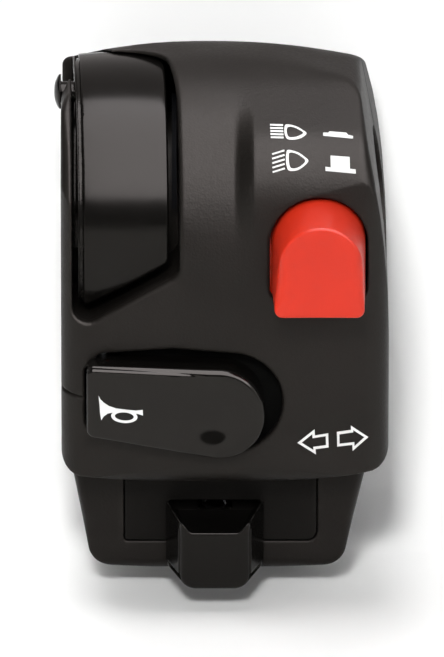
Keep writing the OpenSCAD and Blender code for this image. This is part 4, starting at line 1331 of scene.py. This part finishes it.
@dataclass
class TurnPanel:
    """The insert plate in the lower block, in millimetres."""

    left: float = -14.9
    right: float = 13.6
    low: float = -47.4
    top: float = -37.0
    front_y: float = -16.5
    back_y: float = -13.5
    knob_x: float = -1.5
    neck_z: float = -43.8
    slot_half: float = 6.8
    slot_tall: float = 2.8
    screws: tuple[Point, ...] = ((-14.5, -43.5), (12.0, -43.5))
    step: float = 0.12

    def opening(self, x: Array, z: Array, by: float = 0.0) -> Array:
        """Gives the field of the panel's outline in front view."""
        chain = [(self.left + 0.6, self.low + 0.6, 0.6), (self.right - 1.6, self.low + 1.6, 1.6),
                 (self.right - 0.6, self.top - 0.6, 0.6), (self.left + 0.6, self.top - 0.6, 0.6)]
        return outline(wrap(chain, by), x, z)

    def mesh(self) -> bpy.types.Mesh:
        """Builds the panel.

        Returns:
            The mesh.
        """
        space = Space((-16.6, -17.0, -49.0), (15.2, -13.0, -35.2), self.step)
        x, y, z = space.axes()
        plate = meet(self.opening(x, z, -0.16), span(y, self.front_y, self.front_y + 2.2), 0.2)
        flange = box((x, y, z), (self.left - 1, self.front_y + 2.05, self.low - 1),
                     (self.right + 1, self.back_y, self.top + 1.1), 0.2)
        plate = np.minimum(plate, flange)
        slot = meet(span(x, self.knob_x - self.slot_half, self.knob_x + self.slot_half),
                    span(z, self.neck_z - self.slot_tall, self.neck_z + self.slot_tall), 0.5)
        return mesh_of("turn_panel_plate", space, cut(plate, slot, 0.2))

    def build(self, palette: Palette) -> bpy.types.Object:
        """Builds and dresses the panel."""
        return place_piece(self.mesh(), "turn_panel_plate", Body.CASING,
                           palette.slots[Slot.PANEL], ["turn_panel"])


@dataclass
class TurnKnob:
    """The tapered sliding knob, in millimetres."""

    x: float = -1.5
    root_y: float = -18.0
    root_w: float = 14.7
    face_w: float = 10.2
    length: float = 7.4
    top: float = -41.4
    tall: float = 10.2
    rise: float = 0.14
    face_edge_r: float = 0.9
    trough: float = 1.45
    foot_r: float = 2.3
    neck_z: float = -43.8
    neck_w: float = 5.0
    neck_top: float = -43.2
    neck_end: float = -12.2
    step: float = 0.085

    def mesh(self) -> bpy.types.Mesh:
        """Builds the knob.

        Returns:
            The mesh.
        """
        space = Space((-9.4, -26.0, -52.2), (6.4, -11.8, -39.8), self.step)
        x, y, z = space.axes()
        face = self.root_y - self.length
        low = self.top - self.tall
        lean = (self.face_w - self.root_w) / 2 / self.length
        flank = (np.abs(x - self.x) - self.root_w / 2 - (self.root_y - y) * lean) / math.hypot(1, lean)
        sides = np.maximum(meet(flank, face - y, self.face_edge_r), y - self.root_y)
        crown = z - self.top - self.rise * (y - face) + self.trough * smooth(-flank, 0.1, 1.8)
        body = meet(sides, crown, 0.22)
        body = meet(body, meet(flank, low - z, self.foot_r), 0.4)
        deep = -0.75 - flank
        upright = np.maximum(span(y, face + 0.55, face + 1.2), span(z, low + 1.1, self.top - 1.2))
        foot = np.maximum(span(y, face + 0.55, self.root_y - 1.1), span(z, low + 1.1, low + 2.0))
        body = cut(body, np.maximum(np.minimum(upright, foot), deep), 0.12)
        neck = box((x, y, z), (self.x - self.neck_w / 2, self.root_y - 0.3, self.neck_z - self.neck_w / 2),
                   (self.x + self.neck_w / 2, self.neck_end, self.neck_top), 0.1)
        return mesh_of("turn_knob_block", space, np.minimum(body, neck), 0.01)

    def build(self, palette: Palette) -> bpy.types.Object:
        """Builds and dresses the knob."""
        return place_piece(self.mesh(), "turn_knob_block", Body.KNOB,
                           palette.slots[Slot.KNOB], ["turn_knob"])


# Camera, signs and small parts


@dataclass
class PhotoView:
    """The camera, level with the rider's thumb.

    Attributes:
        width: image width in pixels.
        height: image height in pixels.
        scale: millimetres per pixel at the middle of the part.
        elevation: how far the camera looks down, in degrees.
        centre: what the middle of the image shows, across and up, in millimetres.
        distance: distance of the camera in millimetres.
    """

    width: int = 444
    height: int = 657
    scale: float = 0.1472
    elevation: float = 20.0
    centre: Point = (-0.44, -18.9)
    distance: float = 2400.0

    def directions(self) -> tuple[Array, Array, Array]:
        """Gives the directions to the image's right, up and into the scene."""
        e = math.radians(self.elevation)
        up, into = (0, math.sin(e), math.cos(e)), (0, math.cos(e), -math.sin(e))
        return np.array([1.0, 0, 0]), np.array(up), np.array(into)

    def eye(self) -> Array:
        """Gives the camera's place in millimetres."""
        right, up, into = self.directions()
        return right * self.centre[0] + up * self.centre[1] - into * self.distance

    def ray(self, px: float, py: float) -> Array:
        """Gives the direction of the sight line through a pixel."""
        right, up, into = self.directions()
        across = right * (px - self.width / 2) * self.scale + up * (self.height / 2 - py) * self.scale
        aim = into * self.distance + across
        return aim / np.linalg.norm(aim)

    def build(self) -> bpy.types.Object:
        """Makes the camera.

        Returns:
            The camera.
        """
        data = bpy.data.cameras.new("view")
        data.sensor_fit = "AUTO"
        data.sensor_width = 36.0
        data.lens = 36.0 * self.distance / (self.scale * self.height)
        data.clip_start, data.clip_end = 0.1, 20.0
        camera = bpy.data.objects.new("view", data)
        bpy.context.scene.collection.objects.link(camera)
        camera.location = Vector(self.eye() * MM)
        camera.rotation_euler = (math.radians(90 - self.elevation), 0, 0)
        bpy.context.scene.camera = camera
        return camera


class NodeTool:
    """A Geometry Nodes tree that makes one kind of small part."""

    def __init__(self, name: str, inputs: Sequence[tuple[str, str, object]], material: bpy.types.Material) -> None:
        """Starts the tree.

        Args:
            name: the tree's name.
            inputs: name, socket type and default of each input.
            material: the material of what it makes.
        """
        self.t = new_group(name, "GeometryNodeTree", inputs, [("Geometry", "NodeSocketGeometry")])
        self.start = self.t.add("NodeGroupInput")
        self.material = material

    def value(self, name: str) -> bpy.types.NodeSocket:
        """Gives one of the tree's inputs."""
        return self.start.outputs[name]

    def stand(self, kind: str, settings: dict, height: bpy.types.NodeSocket) -> bpy.types.NodeSocket:
        """Adds a shape, lifts it by a height and gives its geometry."""
        shape = self.t.add(kind, settings).outputs[0]
        at = self.t.add("ShaderNodeCombineXYZ", {"Z": height}).outputs[0]
        return self.t.add("GeometryNodeTransform", {"Geometry": shape, "Translation": at}).outputs[0]

    def repeat(self, shape: bpy.types.NodeSocket, count: int, names: Sequence[str]) -> bpy.types.NodeSocket:
        """Repeats a shape in a row.

        Args:
            shape: the geometry to repeat.
            count: how many there are.
            names: the inputs that hold the row's start, its step and the turn of each shape.

        Returns:
            The row's geometry.
        """
        start, step, turn = (self.value(name) for name in names)
        row = self.t.add("GeometryNodeMeshLine", {"mode": "OFFSET", "Count": count, "Start Location": start,
                                                  "Offset": step}).outputs[0]
        many = {"Points": row, "Instance": shape, "Rotation": turn}
        return self.t.add("GeometryNodeInstanceOnPoints", many).outputs[0]

    def end(self, geometry: bpy.types.NodeSocket) -> None:
        """Realizes the geometry, gives it its material and ends the tree."""
        real = self.t.add("GeometryNodeRealizeInstances", {"Geometry": geometry})
        dressed = self.t.add("GeometryNodeSetMaterial", {"Geometry": real.outputs[0], "Material": self.material})
        self.t.add("NodeGroupOutput", {"Geometry": dressed.outputs[0]})

    def run(self, name: str, **values: object) -> bpy.types.Mesh:
        """Runs the tree with its inputs set.

        Args:
            name: the mesh's name.
            **values: inputs by name, with underscores for spaces.

        Returns:
            A plain mesh.
        """
        holder = bpy.data.objects.new(name, bpy.data.meshes.new(name))
        bpy.context.scene.collection.objects.link(holder)
        modifier = holder.modifiers.new("make", "NODES")
        modifier.node_group = self.t.tree
        named = {s.name: s.identifier for s in self.t.tree.interface.items_tree if s.in_out == "INPUT"}
        for key, value in values.items():
            modifier[named[key.replace("_", " ")]] = value
        bpy.context.view_layer.update()
        ready = holder.evaluated_get(bpy.context.evaluated_depsgraph_get())
        mesh = bpy.data.meshes.new_from_object(ready)
        mesh.name = name
        holder.modifiers.clear()
        bpy.data.objects.remove(holder)
        return mesh


@dataclass
class Coil:
    """One coil spring, in millimetres.

    Attributes:
        node: the CAD node that it stands for.
        body: the body that it moves with.
        foot: middle of the end where it starts.
        turn: rotation of its axis from +Z, in degrees about X.
        r: radius at the middle of the wire.
        wire: radius of the wire.
        length: length between its seats.
        turns: number of turns.
        joint: the joint that squeezes it.
        keep: share of its length that is left then; not used.
    """

    node: str
    body: Body
    foot: tuple[float, float, float]
    turn: float
    r: float
    wire: float
    length: float
    turns: float
    joint: str = ""
    keep: float = 1.0


@dataclass
class Springs:
    """The coil springs inside the casing."""

    coils: tuple[Coil, ...] = (
        Coil("light_spring", Body.CASING, (13.65, -15.1, 1.0), 90, 2.4, 0.3, 15.9, 7, "light_push", 0.811),
        Coil("horn_spring", Body.CASING, (-3.7, -17.0, -24.0), 90, 2.2, 0.3, 9.0, 5, "horn_rock", 0.84),
        Coil("turn_cancel_spring", Body.CARRIAGE, (-1.5, -9.0, -43.8), 90, 1.7, 0.16, 3.2, 3, "cancel_push", 0.625),
        Coil("turn_detent_spring", Body.CARRIAGE, (3.1, -9.9, -44.7), 0, 0.85, 0.16, 4.8, 5),
    )

    def build(self, palette: Palette) -> None:
        """Builds and dresses every spring.

        Args:
            palette: the materials.
        """
        steel = palette.slots[Slot.SPRING_STEEL]
        tool = NodeTool("coil_spring", [("Radius", NUMBER, 0.002), ("Wire", NUMBER, 0.0003), ("Rise", NUMBER, 0.01),
                                        ("Turns", NUMBER, 5.0), ("Foot", VECTOR, None), ("Turn", VECTOR, None)], steel)
        t = tool.t
        spiral = t.add("GeometryNodeCurveSpiral", {
            "Resolution": 40, "Rotations": tool.value("Turns"), "Start Radius": tool.value("Radius"),
            "End Radius": tool.value("Radius"), "Height": tool.value("Rise")})
        wire = t.add("GeometryNodeCurvePrimitiveCircle", {"Resolution": 12, "Radius": tool.value("Wire")})
        tube = t.add("GeometryNodeCurveToMesh", {"Curve": spiral.outputs[0], "Profile Curve": wire.outputs[0],
                                                 "Fill Caps": True})
        smooth = t.add("GeometryNodeSetShadeSmooth", {"Geometry": tube.outputs[0]})
        stood = t.add("GeometryNodeTransform", {"Geometry": smooth.outputs[0], "Translation": tool.value("Foot"),
                                                "Rotation": tool.value("Turn")})
        tool.end(stood.outputs[0])
        for coil in self.coils:
            lift = coil.wire + 0.05
            turn = math.radians(coil.turn)
            foot = Vector(coil.foot) + Vector((0, -math.sin(turn), math.cos(turn))) * lift
            mesh = tool.run(coil.node + "_wire", Radius=coil.r * MM, Wire=coil.wire * MM,
                            Rise=(coil.length - 2 * lift) * MM, Turns=float(coil.turns),
                            Foot=foot * MM, Turn=(turn, 0.0, 0.0))
            piece = place_piece(mesh, coil.node + "_wire", coil.body, steel, [coil.node])
            if coil.joint:
                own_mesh(piece)


@dataclass
class ClampScrews:
    """The two socket screws that close the casing, in millimetres."""

    places: tuple[Point, ...] = ((8.0, 17.9), (14.0, -24.0))
    tilt: float = 25.0
    shank_r: float = 2.0
    head_r: float = 3.5
    head_tall: float = 2.6
    length: float = 16.0
    seat: float = 8.4

    def build(self, palette: Palette) -> None:
        """Builds and dresses both screws.

        Args:
            palette: the materials.
        """
        steel = palette.slots[Slot.STEEL]
        tool = NodeTool("socket_screws", [("First", VECTOR, None), ("Step", VECTOR, None), ("Turn", VECTOR, None),
                                          ("Shank", NUMBER, 0.002), ("Head", NUMBER, 0.0035), ("Tall", NUMBER, 0.0026),
                                          ("Length", NUMBER, 0.016)], steel)
        t = tool.t
        shank, head, tall, length = (tool.value(name) for name in ("Shank", "Head", "Tall", "Length"))
        solid = t.add("GeometryNodeMeshBoolean", {"operation": "UNION"})
        for part in (
            tool.stand(CYLINDER, {"Vertices": 32, "Radius": shank, "Depth": length}, t.math("MULTIPLY", length, -0.5)),
            tool.stand(CYLINDER, {"Vertices": 48, "Radius": head, "Depth": t.math("MULTIPLY", tall, 0.8)},
                       t.math("MULTIPLY", tall, 0.4)),
            tool.stand("GeometryNodeMeshCone", {"Vertices": 48, "Radius Bottom": head,
                                                "Radius Top": t.math("MULTIPLY", head, 0.88),
                                                "Depth": t.math("MULTIPLY", tall, 0.2)}, t.math("MULTIPLY", tall, 0.8)),
        ):
            t.tree.links.new(part, solid.inputs["Mesh 2"])
        key = {"Vertices": 6, "Radius": t.math("MULTIPLY", shank, 0.8), "Depth": tall}
        socket = tool.stand(CYLINDER, key, t.math("MULTIPLY", tall, 0.95))
        hollow = t.add("GeometryNodeMeshBoolean", {"operation": "DIFFERENCE", "Mesh 1": solid.outputs[0]})
        t.tree.links.new(socket, hollow.inputs["Mesh 2"])
        tool.end(tool.repeat(hollow.outputs[0], 2, ("First", "Step", "Turn")))
        tilt = math.radians(self.tilt)
        along = Vector((0, math.cos(tilt), -math.sin(tilt)))
        up = Vector((0, math.sin(tilt), math.cos(tilt)))
        first, second = [Vector((x, 0, 0)) + up * v + along * self.seat for x, v in self.places]
        mesh = tool.run("clamp_screw_pair", First=first * MM, Step=(second - first) * MM,
                        Turn=(-math.pi / 2 - tilt, 0.0, 0.0), Shank=self.shank_r * MM, Head=self.head_r * MM,
                        Tall=self.head_tall * MM, Length=self.length * MM)
        place_piece(mesh, "clamp_screw_pair", Body.CASING, steel, ["clamp_screws"])


class Sign(Enum):
    """The printed signs, by what they mean."""

    HIGH_BEAM = "high_beam"
    LOW_BEAM = "low_beam"
    PUSHED = "pushed"
    OUT = "out"
    LEFT = "left"
    RIGHT = "right"
    HORN = "horn"


def ellipse(at: Point, radii: Point, turn: float, count: int = 40) -> list[Point]:
    """Gives the points of a turned ellipse.

    Args:
        at: its middle.
        radii: its half axes.
        turn: its turn in degrees.
        count: number of points.

    Returns:
        The points.
    """
    c, s = math.cos(math.radians(turn)), math.sin(math.radians(turn))
    steps = [math.tau * i / count for i in range(count)]
    return [(at[0] + radii[0] * math.cos(a) * c - radii[1] * math.sin(a) * s,
             at[1] + radii[0] * math.cos(a) * s + radii[1] * math.sin(a) * c) for a in steps]


def flowing(points: Sequence[Point], steps: int = 5) -> list[Point]:
    """Rounds a closed outline with a smooth curve through its points.

    Args:
        points: the outline's points.
        steps: points on each stretch.

    Returns:
        The finer outline.
    """
    p = np.array(points)
    finer = []
    for i in range(len(p)):
        a, b, c, d = p[i - 1], p[i], p[(i + 1) % len(p)], p[(i + 2) % len(p)]
        for k in range(steps):
            t = k / steps
            curve = 2 * b + (c - a) * t + (2 * a - 5 * b + 4 * c - d) * t**2 + (3 * b - a - 3 * c + d) * t**3
            finer.append(tuple(0.5 * curve))
    return finer


@dataclass
class Signs:
    """White printed signs that lie on the mouldings, laid out in image pixels."""

    view: PhotoView
    raised: float = 0.035
    sunk: float = 0.12

    def loops(self) -> dict[Sign, list[list[Point]]]:
        """Gives the closed outlines of each sign, holes included."""
        high = flowing([(286.4, 124.5), (291.5, 125.0), (297.5, 126.9), (303.0, 130.2), (306.5, 133.2), (303.5, 136.7),
                        (298.5, 139.0), (293.0, 139.8), (287.8, 139.2), (285.2, 135.8), (284.3, 130.6), (284.8, 126.0)])
        high_in = flowing([(288.3, 127.0), (293.5, 127.2), (299.0, 129.7), (303.2, 132.8), (299.0, 135.8),
                           (294.0, 137.2), (289.0, 137.0), (287.2, 133.8), (286.7, 129.8)])
        low = flowing([(287.6, 150.1), (293.0, 150.6), (299.0, 152.9), (304.6, 156.8), (308.4, 160.7), (305.0, 165.2),
                       (299.6, 169.3), (294.0, 170.9), (288.6, 170.3), (286.6, 165.8), (285.9, 159.4), (286.3, 153.2)])
        low_in = flowing([(289.6, 152.8), (295.0, 153.2), (300.4, 156.1), (305.3, 160.6), (301.0, 165.9),
                          (295.4, 168.3), (290.8, 167.8), (289.1, 163.0), (288.8, 156.4)])
        horn = [(98.5, 395.6), (100.6, 399.4), (104.2, 402.8), (109.3, 406.1), (116.3, 408.4), (126.6, 409.7),
                (136.0, 410.6), (142.8, 409.8), (143.0, 415.6), (138.0, 413.9), (130.0, 412.9), (120.0, 412.6),
                (112.0, 412.6), (107.6, 413.6), (103.8, 416.4), (101.2, 420.2), (100.2, 414.0), (99.4, 404.0)]
        left = [(297.3, 442.8), (314.5, 429.3), (315.0, 435.4), (328.2, 433.2), (328.6, 447.4),
                (315.6, 449.1), (316.0, 454.4)]
        left_in = [(301.6, 442.6), (312.2, 434.2), (312.5, 438.2), (325.7, 436.1), (326.0, 445.1),
                   (313.2, 446.8), (313.4, 449.9)]
        right = [(336.8, 431.8), (351.0, 429.8), (350.8, 425.5), (368.3, 437.0), (352.6, 450.9),
                 (352.3, 444.8), (337.2, 446.5)]
        right_in = [(339.3, 434.3), (353.3, 432.3), (353.2, 430.1), (364.4, 437.1), (354.5, 446.1),
                    (354.3, 442.0), (339.6, 443.7)]
        pushed = [(323.1, 132.6), (328.2, 132.8), (329.6, 131.4), (346.2, 132.8), (348.2, 135.0), (353.2, 136.0),
                  (352.8, 138.6), (323.1, 135.8)]
        out = [(325.5, 166.8), (330.7, 167.4), (330.5, 155.6), (349.6, 157.0), (349.9, 168.8), (355.5, 169.4),
               (355.9, 173.7), (325.5, 170.9)]
        return {Sign.HIGH_BEAM: [high, high_in], Sign.LOW_BEAM: [low, low_in], Sign.PUSHED: [pushed], Sign.OUT: [out],
                Sign.LEFT: [left, left_in], Sign.RIGHT: [right, right_in],
                Sign.HORN: [horn, ellipse((124.3, 416.4), (13.2, 6.6), 4.0), ellipse((124.3, 416.4), (9.4, 4.0), 4.0)]}

    def fill(self, loops: Sequence[Sequence[Point]], holes: int) -> tuple[Array, list[tuple[int, int, int]]]:
        """Fills outlines with small triangles.

        Args:
            loops: the outlines, the holes last.
            holes: how many of them are holes.

        Returns:
            The points and the triangles.
        """
        points, edges = [], []
        for loop in loops:
            fine = []
            for a, b in zip(loop, [*loop[1:], loop[0]]):
                cuts = max(1, math.ceil(math.dist(a, b) / 1.5))
                fine += [(a[0] + (b[0] - a[0]) * k / cuts, a[1] + (b[1] - a[1]) * k / cuts) for k in range(cuts)]
            first = len(points)
            points += fine
            edges += [(first + i, first + (i + 1) % len(fine)) for i in range(len(fine))]
        outer = [np.array(loop) for loop in loops[: len(loops) - holes]]
        inner = [np.array(loop) for loop in loops[len(loops) - holes:]]
        low, high = np.min(points, axis=0), np.max(points, axis=0)
        u, v = (a.ravel() for a in np.meshgrid(np.arange(low[0], high[0], 2.0), np.arange(low[1], high[1], 2.0)))
        room = np.min([outline(o, u, v) for o in outer], axis=0)
        for o in inner:
            room = np.maximum(room, -outline(o, u, v))
        points += [(float(a), float(b)) for a, b, r in zip(u, v, room) if r < -0.8]
        spots, _, faces, *_ = delaunay_2d_cdt([Vector(p) for p in points], edges, [], 1, 1e-5)
        spots = np.array(spots)
        middle = np.array([spots[list(f)].mean(0) for f in faces])
        held = np.min([outline(o, middle[:, 0], middle[:, 1]) for o in outer], axis=0) < 0
        for o in inner:
            held &= outline(o, middle[:, 0], middle[:, 1]) > 0
        return spots, [tuple(f) for f, keep in zip(faces, held) if keep]

    def lay(self, name: str, spots: Array, faces: Sequence[Sequence[int]], carrier: BVHTree) -> bpy.types.Mesh:
        """Lays a flat drawing on the surface that carries it, as a thin closed film.

        Args:
            name: the mesh's name.
            spots: points in image pixels.
            faces: faces between the points.
            carrier: the surface.

        Returns:
            The film's mesh.
        """
        eye = Vector(self.view.eye() * MM)
        upper, lower = [], []
        for px, py in spots:
            hit, normal, _, _ = carrier.ray_cast(eye, Vector(self.view.ray(px, py)))
            upper.append(hit + normal * self.raised * MM)
            lower.append(hit - normal * self.sunk * MM)
        count = len(spots)
        turned = []
        for f in faces:
            a, b, c = (upper[i] for i in f[:3])
            facing = (b - a).cross(c - a).dot(Vector(self.view.ray(*spots[f[0]]))) < 0
            turned.append(tuple(f) if facing else tuple(reversed(f)))
        sides: dict[tuple[int, int], tuple[int, int]] = {}
        for f in turned:
            for a, b in zip(f, (*f[1:], f[0])):
                sides.pop((b, a), None) if (b, a) in sides else sides.setdefault((a, b), (a, b))
        walls = [(a, count + a, count + b, b) for a, b in sides.values()]
        mesh = bpy.data.meshes.new(name)
        under = [tuple(count + i for i in reversed(f)) for f in turned]
        mesh.from_pydata([*upper, *lower], [], [*turned, *under, *walls])
        mesh.validate()
        return mesh

    def rays(self, material: bpy.types.Material) -> NodeTool:
        """Builds the tree that repeats the short rays of a lamp sign.

        Args:
            material: the sign's white.

        Returns:
            The tool.
        """
        tool = NodeTool("lamp_rays", [("Start", VECTOR, None), ("Step", VECTOR, None), ("Length", NUMBER, 13.0),
                                      ("Thick", NUMBER, 2.0), ("Slant", VECTOR, None)], material)
        t = tool.t
        one = t.add("GeometryNodeMeshGrid", {"Size X": tool.value("Length"), "Size Y": tool.value("Thick"),
                                             "Vertices X": 12, "Vertices Y": 3})
        tool.end(tool.repeat(one.outputs[0], 5, ("Start", "Step", "Slant")))
        return tool

    def build(self, palette: Palette, front: bpy.types.Object, paddle: bpy.types.Object) -> None:
        """Builds every sign and lays it on its carrier.

        Args:
            palette: the materials.
            front: the front shell's piece.
            paddle: the horn paddle's piece.
        """
        trees = {Body.CASING: self.surface(front), Body.HORN: self.surface(paddle)}
        for sign, loops in self.loops().items():
            body = Body.HORN if sign is Sign.HORN else Body.CASING
            holes = 0 if sign in (Sign.PUSHED, Sign.OUT) else 1
            mesh = self.lay(f"sign_{sign.value}", *self.fill(loops, holes), trees[body])
            place_piece(mesh, f"sign_{sign.value}", body, palette.sign)
        tool = self.rays(palette.sign)
        rows = {Sign.HIGH_BEAM: ((276.5, 125.0, 0.0), (0.16, 3.1, 0.0), 13.0, 0.03),
                Sign.LOW_BEAM: ((278.3, 152.3, 0.0), (0.1, 4.5, 0.0), 12.8, -0.3)}
        for sign, (first, step, length, slant) in rows.items():
            flat = tool.run(f"{sign.value}_rays", Start=first, Step=step, Length=length, Thick=1.7,
                            Slant=(0.0, 0.0, slant))
            spots = np.array([v.co[:2] for v in flat.vertices])
            faces = [tuple(p.vertices) for p in flat.polygons]
            mesh = self.lay(f"sign_{sign.value}_rays", spots, faces, trees[Body.CASING])
            place_piece(mesh, f"sign_{sign.value}_rays", Body.CASING, palette.sign)
            bpy.data.meshes.remove(flat)

    def surface(self, piece: bpy.types.Object) -> BVHTree:
        """Gives a piece's surface for laying signs on."""
        mesh = piece.data
        return BVHTree.FromPolygons([v.co[:] for v in mesh.vertices], [tuple(p.vertices) for p in mesh.polygons])


@dataclass
class InnerParts:
    """The CAD nodes that keep their own shape, with a finish for each slot."""

    kept: dict[str, Slot] = field(default_factory=lambda: {
        s["node"]: Slot(s["material_slot"]) for s in frame["record"]["subparts"]})

    def dress(self, palette: Palette) -> None:
        """Gives every CAD node its slot's material, except the lever's friction spring, which gets a near-black painted
        shade.

        Args:
            palette: the materials.
        """
        for node, slot in self.kept.items():
            mesh = frame["nodes"][node].data
            mesh.materials.clear()
            # The friction spring is dressed in painted shade, so the gap beside the lever looks dark.
            mesh.materials.append(palette.spring_shade if node == "choke_friction_spring" else palette.slots[slot])
            LOG.info("%s: CAD node in %s", node, slot.value)


class Shows(Enum):
    """How a lamp reaches the part."""

    LIGHT = "light"
    GLOSS = "gloss"


@dataclass(frozen=True)
class Lamp:
    """A soft lamp.

    Attributes:
        name: its name.
        toward: direction from the part to the lamp.
        distance: its distance in metres.
        wide: its width in metres.
        tall: its height in metres.
        level: how brightly it lights a surface that faces it, where 1 shows white as white, or how bright its
            own face looks where it only shows in gloss.
        shows: whether it lights the part or shows in its gloss.
        tint: colour of its light.
        shift: how far it stands to its own right, in metres.
    """

    name: str
    toward: tuple[float, float, float]
    distance: float
    wide: float
    tall: float
    level: float
    shows: Shows
    tint: tuple[float, float, float] = (1.0, 1.0, 1.0)
    shift: float = 0.0

    def build(self, aim: Vector) -> bpy.types.Object:
        """Adds the lamp.

        Args:
            aim: the point that it faces.

        Returns:
            The lamp.
        """
        data = bpy.data.lights.new(self.name, "AREA")
        data.shape = "RECTANGLE"
        data.size, data.size_y = self.wide, self.tall
        data.color = self.tint
        area = self.wide * self.tall
        data.energy = self.level * math.pi * (area if self.shows is Shows.GLOSS else math.pi * self.distance**2)
        lamp = bpy.data.objects.new(self.name, data)
        bpy.context.scene.collection.objects.link(lamp)
        way = Vector(self.toward).normalized()
        turn = (-way).to_track_quat("-Z", "Y")
        lamp.location = aim + way * self.distance + turn @ Vector((self.shift, 0, 0))
        lamp.rotation_euler = turn.to_euler()
        lamp.visible_glossy = self.shows is not Shows.LIGHT
        lamp.visible_diffuse = self.shows is not Shows.GLOSS
        lamp.visible_transmission = False
        return lamp


@dataclass
class Studio:
    """Pale floor and backdrop, and soft light."""

    view: PhotoView
    floor_z: float = CAD_BOX[0][2]
    half: float = 3.0
    behind: float = 0.0268
    room: float = 0.07
    cove: float = 0.012
    aim_z: float = -0.017
    glow: float = 0.06
    lamps: tuple[Lamp, ...] = (
        Lamp("key", (-0.06, -0.8, 0.588), 1.2, 0.17, 0.17, 0.66, Shows.LIGHT),
        Lamp("fill", (0.0, -0.94, 0.34), 1.6, 1.3, 1.3, 0.05, Shows.LIGHT),
        Lamp("overhead", (-0.1, -0.05, 0.98), 1.0, 0.4, 0.4, 0.5, Shows.LIGHT),
        Lamp("back", (-0.15, 0.84, 0.53), 1.0, 0.4, 0.4, 0.3, Shows.LIGHT),
        Lamp("softbox", (0.0, -0.454, 0.891), 0.6, 0.92, 1.06, 8.2, Shows.GLOSS, (0.97, 0.95, 1.0), 0.29),
        Lamp("left_panel", (-0.68, -0.73, 0.22), 1.0, 0.5, 0.7, 0.5, Shows.GLOSS),
        Lamp("right_panel", (0.68, -0.73, 0.22), 1.0, 0.56, 0.7, 0.8, Shows.GLOSS),
        Lamp("left_strip", (-0.93, -0.3, 0.2), 1.0, 0.08, 0.9, 4.0, Shows.GLOSS),
        Lamp("right_strip", (0.9, -0.4, 0.2), 1.0, 0.1, 0.9, 6.0, Shows.GLOSS),
        Lamp("back_panel", (0.0, 0.8, 0.6), 0.8, 1.8, 1.1, 0.5, Shows.GLOSS, (1.0, 0.92, 0.9)),
    )

    def build(self) -> None:
        """Builds the floor, the backdrop, the lamps and the world."""
        white = self.white()
        half, z = self.half, self.floor_z
        self.sheet("floor", [(-half, z), (half, z)], white)
        _, up, into = (Vector(v) for v in self.view.directions())
        start = into * self.behind
        low = start + up * ((z - start.z) / up.z)
        high = start + up * half
        lean = math.radians(90 - self.view.elevation)
        foot = low.y - self.cove * math.tan(lean / 2)
        turns = [lean * k / 12 for k in range(13)]
        bend = [(foot + self.cove * math.sin(a), z + self.cove * (1 - math.cos(a))) for a in turns]
        backdrop = self.sheet("backdrop", [*bend, (high.y, high.z)], white)
        backdrop.visible_glossy = False
        backdrop.visible_shadow = False
        for lamp in self.lamps:
            lamp.build(Vector((0, 0, self.aim_z)))
        world = bpy.data.worlds.new("room")
        bpy.context.scene.world = world
        world.use_nodes = True
        world.node_tree.nodes["Background"].inputs["Color"].default_value = (self.room, self.room, self.room, 1.0)
        bpy.context.scene.view_settings.view_transform = "Standard"

    def white(self) -> bpy.types.Material:
        """Makes the pale paper, which is clear from behind.

        Returns:
            The material.
        """
        material = bpy.data.materials.new("paper_white")
        material.use_nodes = True
        t = Tree(material.node_tree)
        t.tree.nodes.clear()
        sheet = t.add("ShaderNodeBsdfDiffuse", {"Color": (0.95, 0.95, 0.945, 1.0)})
        glow = t.add("ShaderNodeEmission", {"Color": (1.0, 1.0, 0.995, 1.0), "Strength": 1.0})
        path = t.add("ShaderNodeLightPath")
        seen = path.outputs["Is Camera Ray"]
        for way in ("Is Glossy Ray", "Is Transmission Ray"):
            seen = t.math("MAXIMUM", seen, path.outputs[way])
        paper = t.add("ShaderNodeMixShader", {0: t.math("MULTIPLY", seen, self.glow), 1: sheet.outputs[0],
                                              2: glow.outputs[0]})
        clear = t.add("ShaderNodeBsdfTransparent")
        back = t.add("ShaderNodeNewGeometry").outputs["Backfacing"]
        mix = t.add("ShaderNodeMixShader", {0: back, 1: paper.outputs[0], 2: clear.outputs[0]})
        t.add("ShaderNodeOutputMaterial", {"Surface": mix.outputs[0]})
        return material

    def sheet(self, name: str, run: Sequence[Point], material: bpy.types.Material) -> bpy.types.Object:
        """Adds one sheet of paper.

        Args:
            name: the sheet's name.
            run: places from the rider and heights along the sheet, from its front end.
            material: the paper.

        Returns:
            The sheet.
        """
        mesh = bpy.data.meshes.new(name)
        corners = [(x, y, z) for y, z in run for x in (-self.half, self.half)]
        mesh.from_pydata(corners, [], [(i, i + 1, i + 3, i + 2) for i in range(0, len(corners) - 2, 2)])
        mesh.shade_smooth()
        mesh.materials.append(material)
        sheet = bpy.data.objects.new(name, mesh)
        bpy.context.scene.collection.objects.link(sheet)
        return sheet


def main() -> None:
    """Builds every piece in order and reports it."""
    logging.basicConfig(level=logging.INFO, format="%(message)s")
    palette = Palette.make()
    view = PhotoView()
    view.build()
    InnerParts().dress(palette)
    lever, light, horn, panel, knob = ChokeLever(), LightButton(), HornPaddle(), TurnPanel(), TurnKnob()
    front = Casing().build(palette, lever, light, horn, panel)
    lever.build(palette)
    light.build(palette)
    paddle = horn.build(palette)
    panel.build(palette)
    knob.build(palette)
    Springs().build(palette)
    ClampScrews().build(palette)
    Signs(view).build(palette, front, paddle)
    Studio(view).build()


if __name__ == "__main__":
    main()
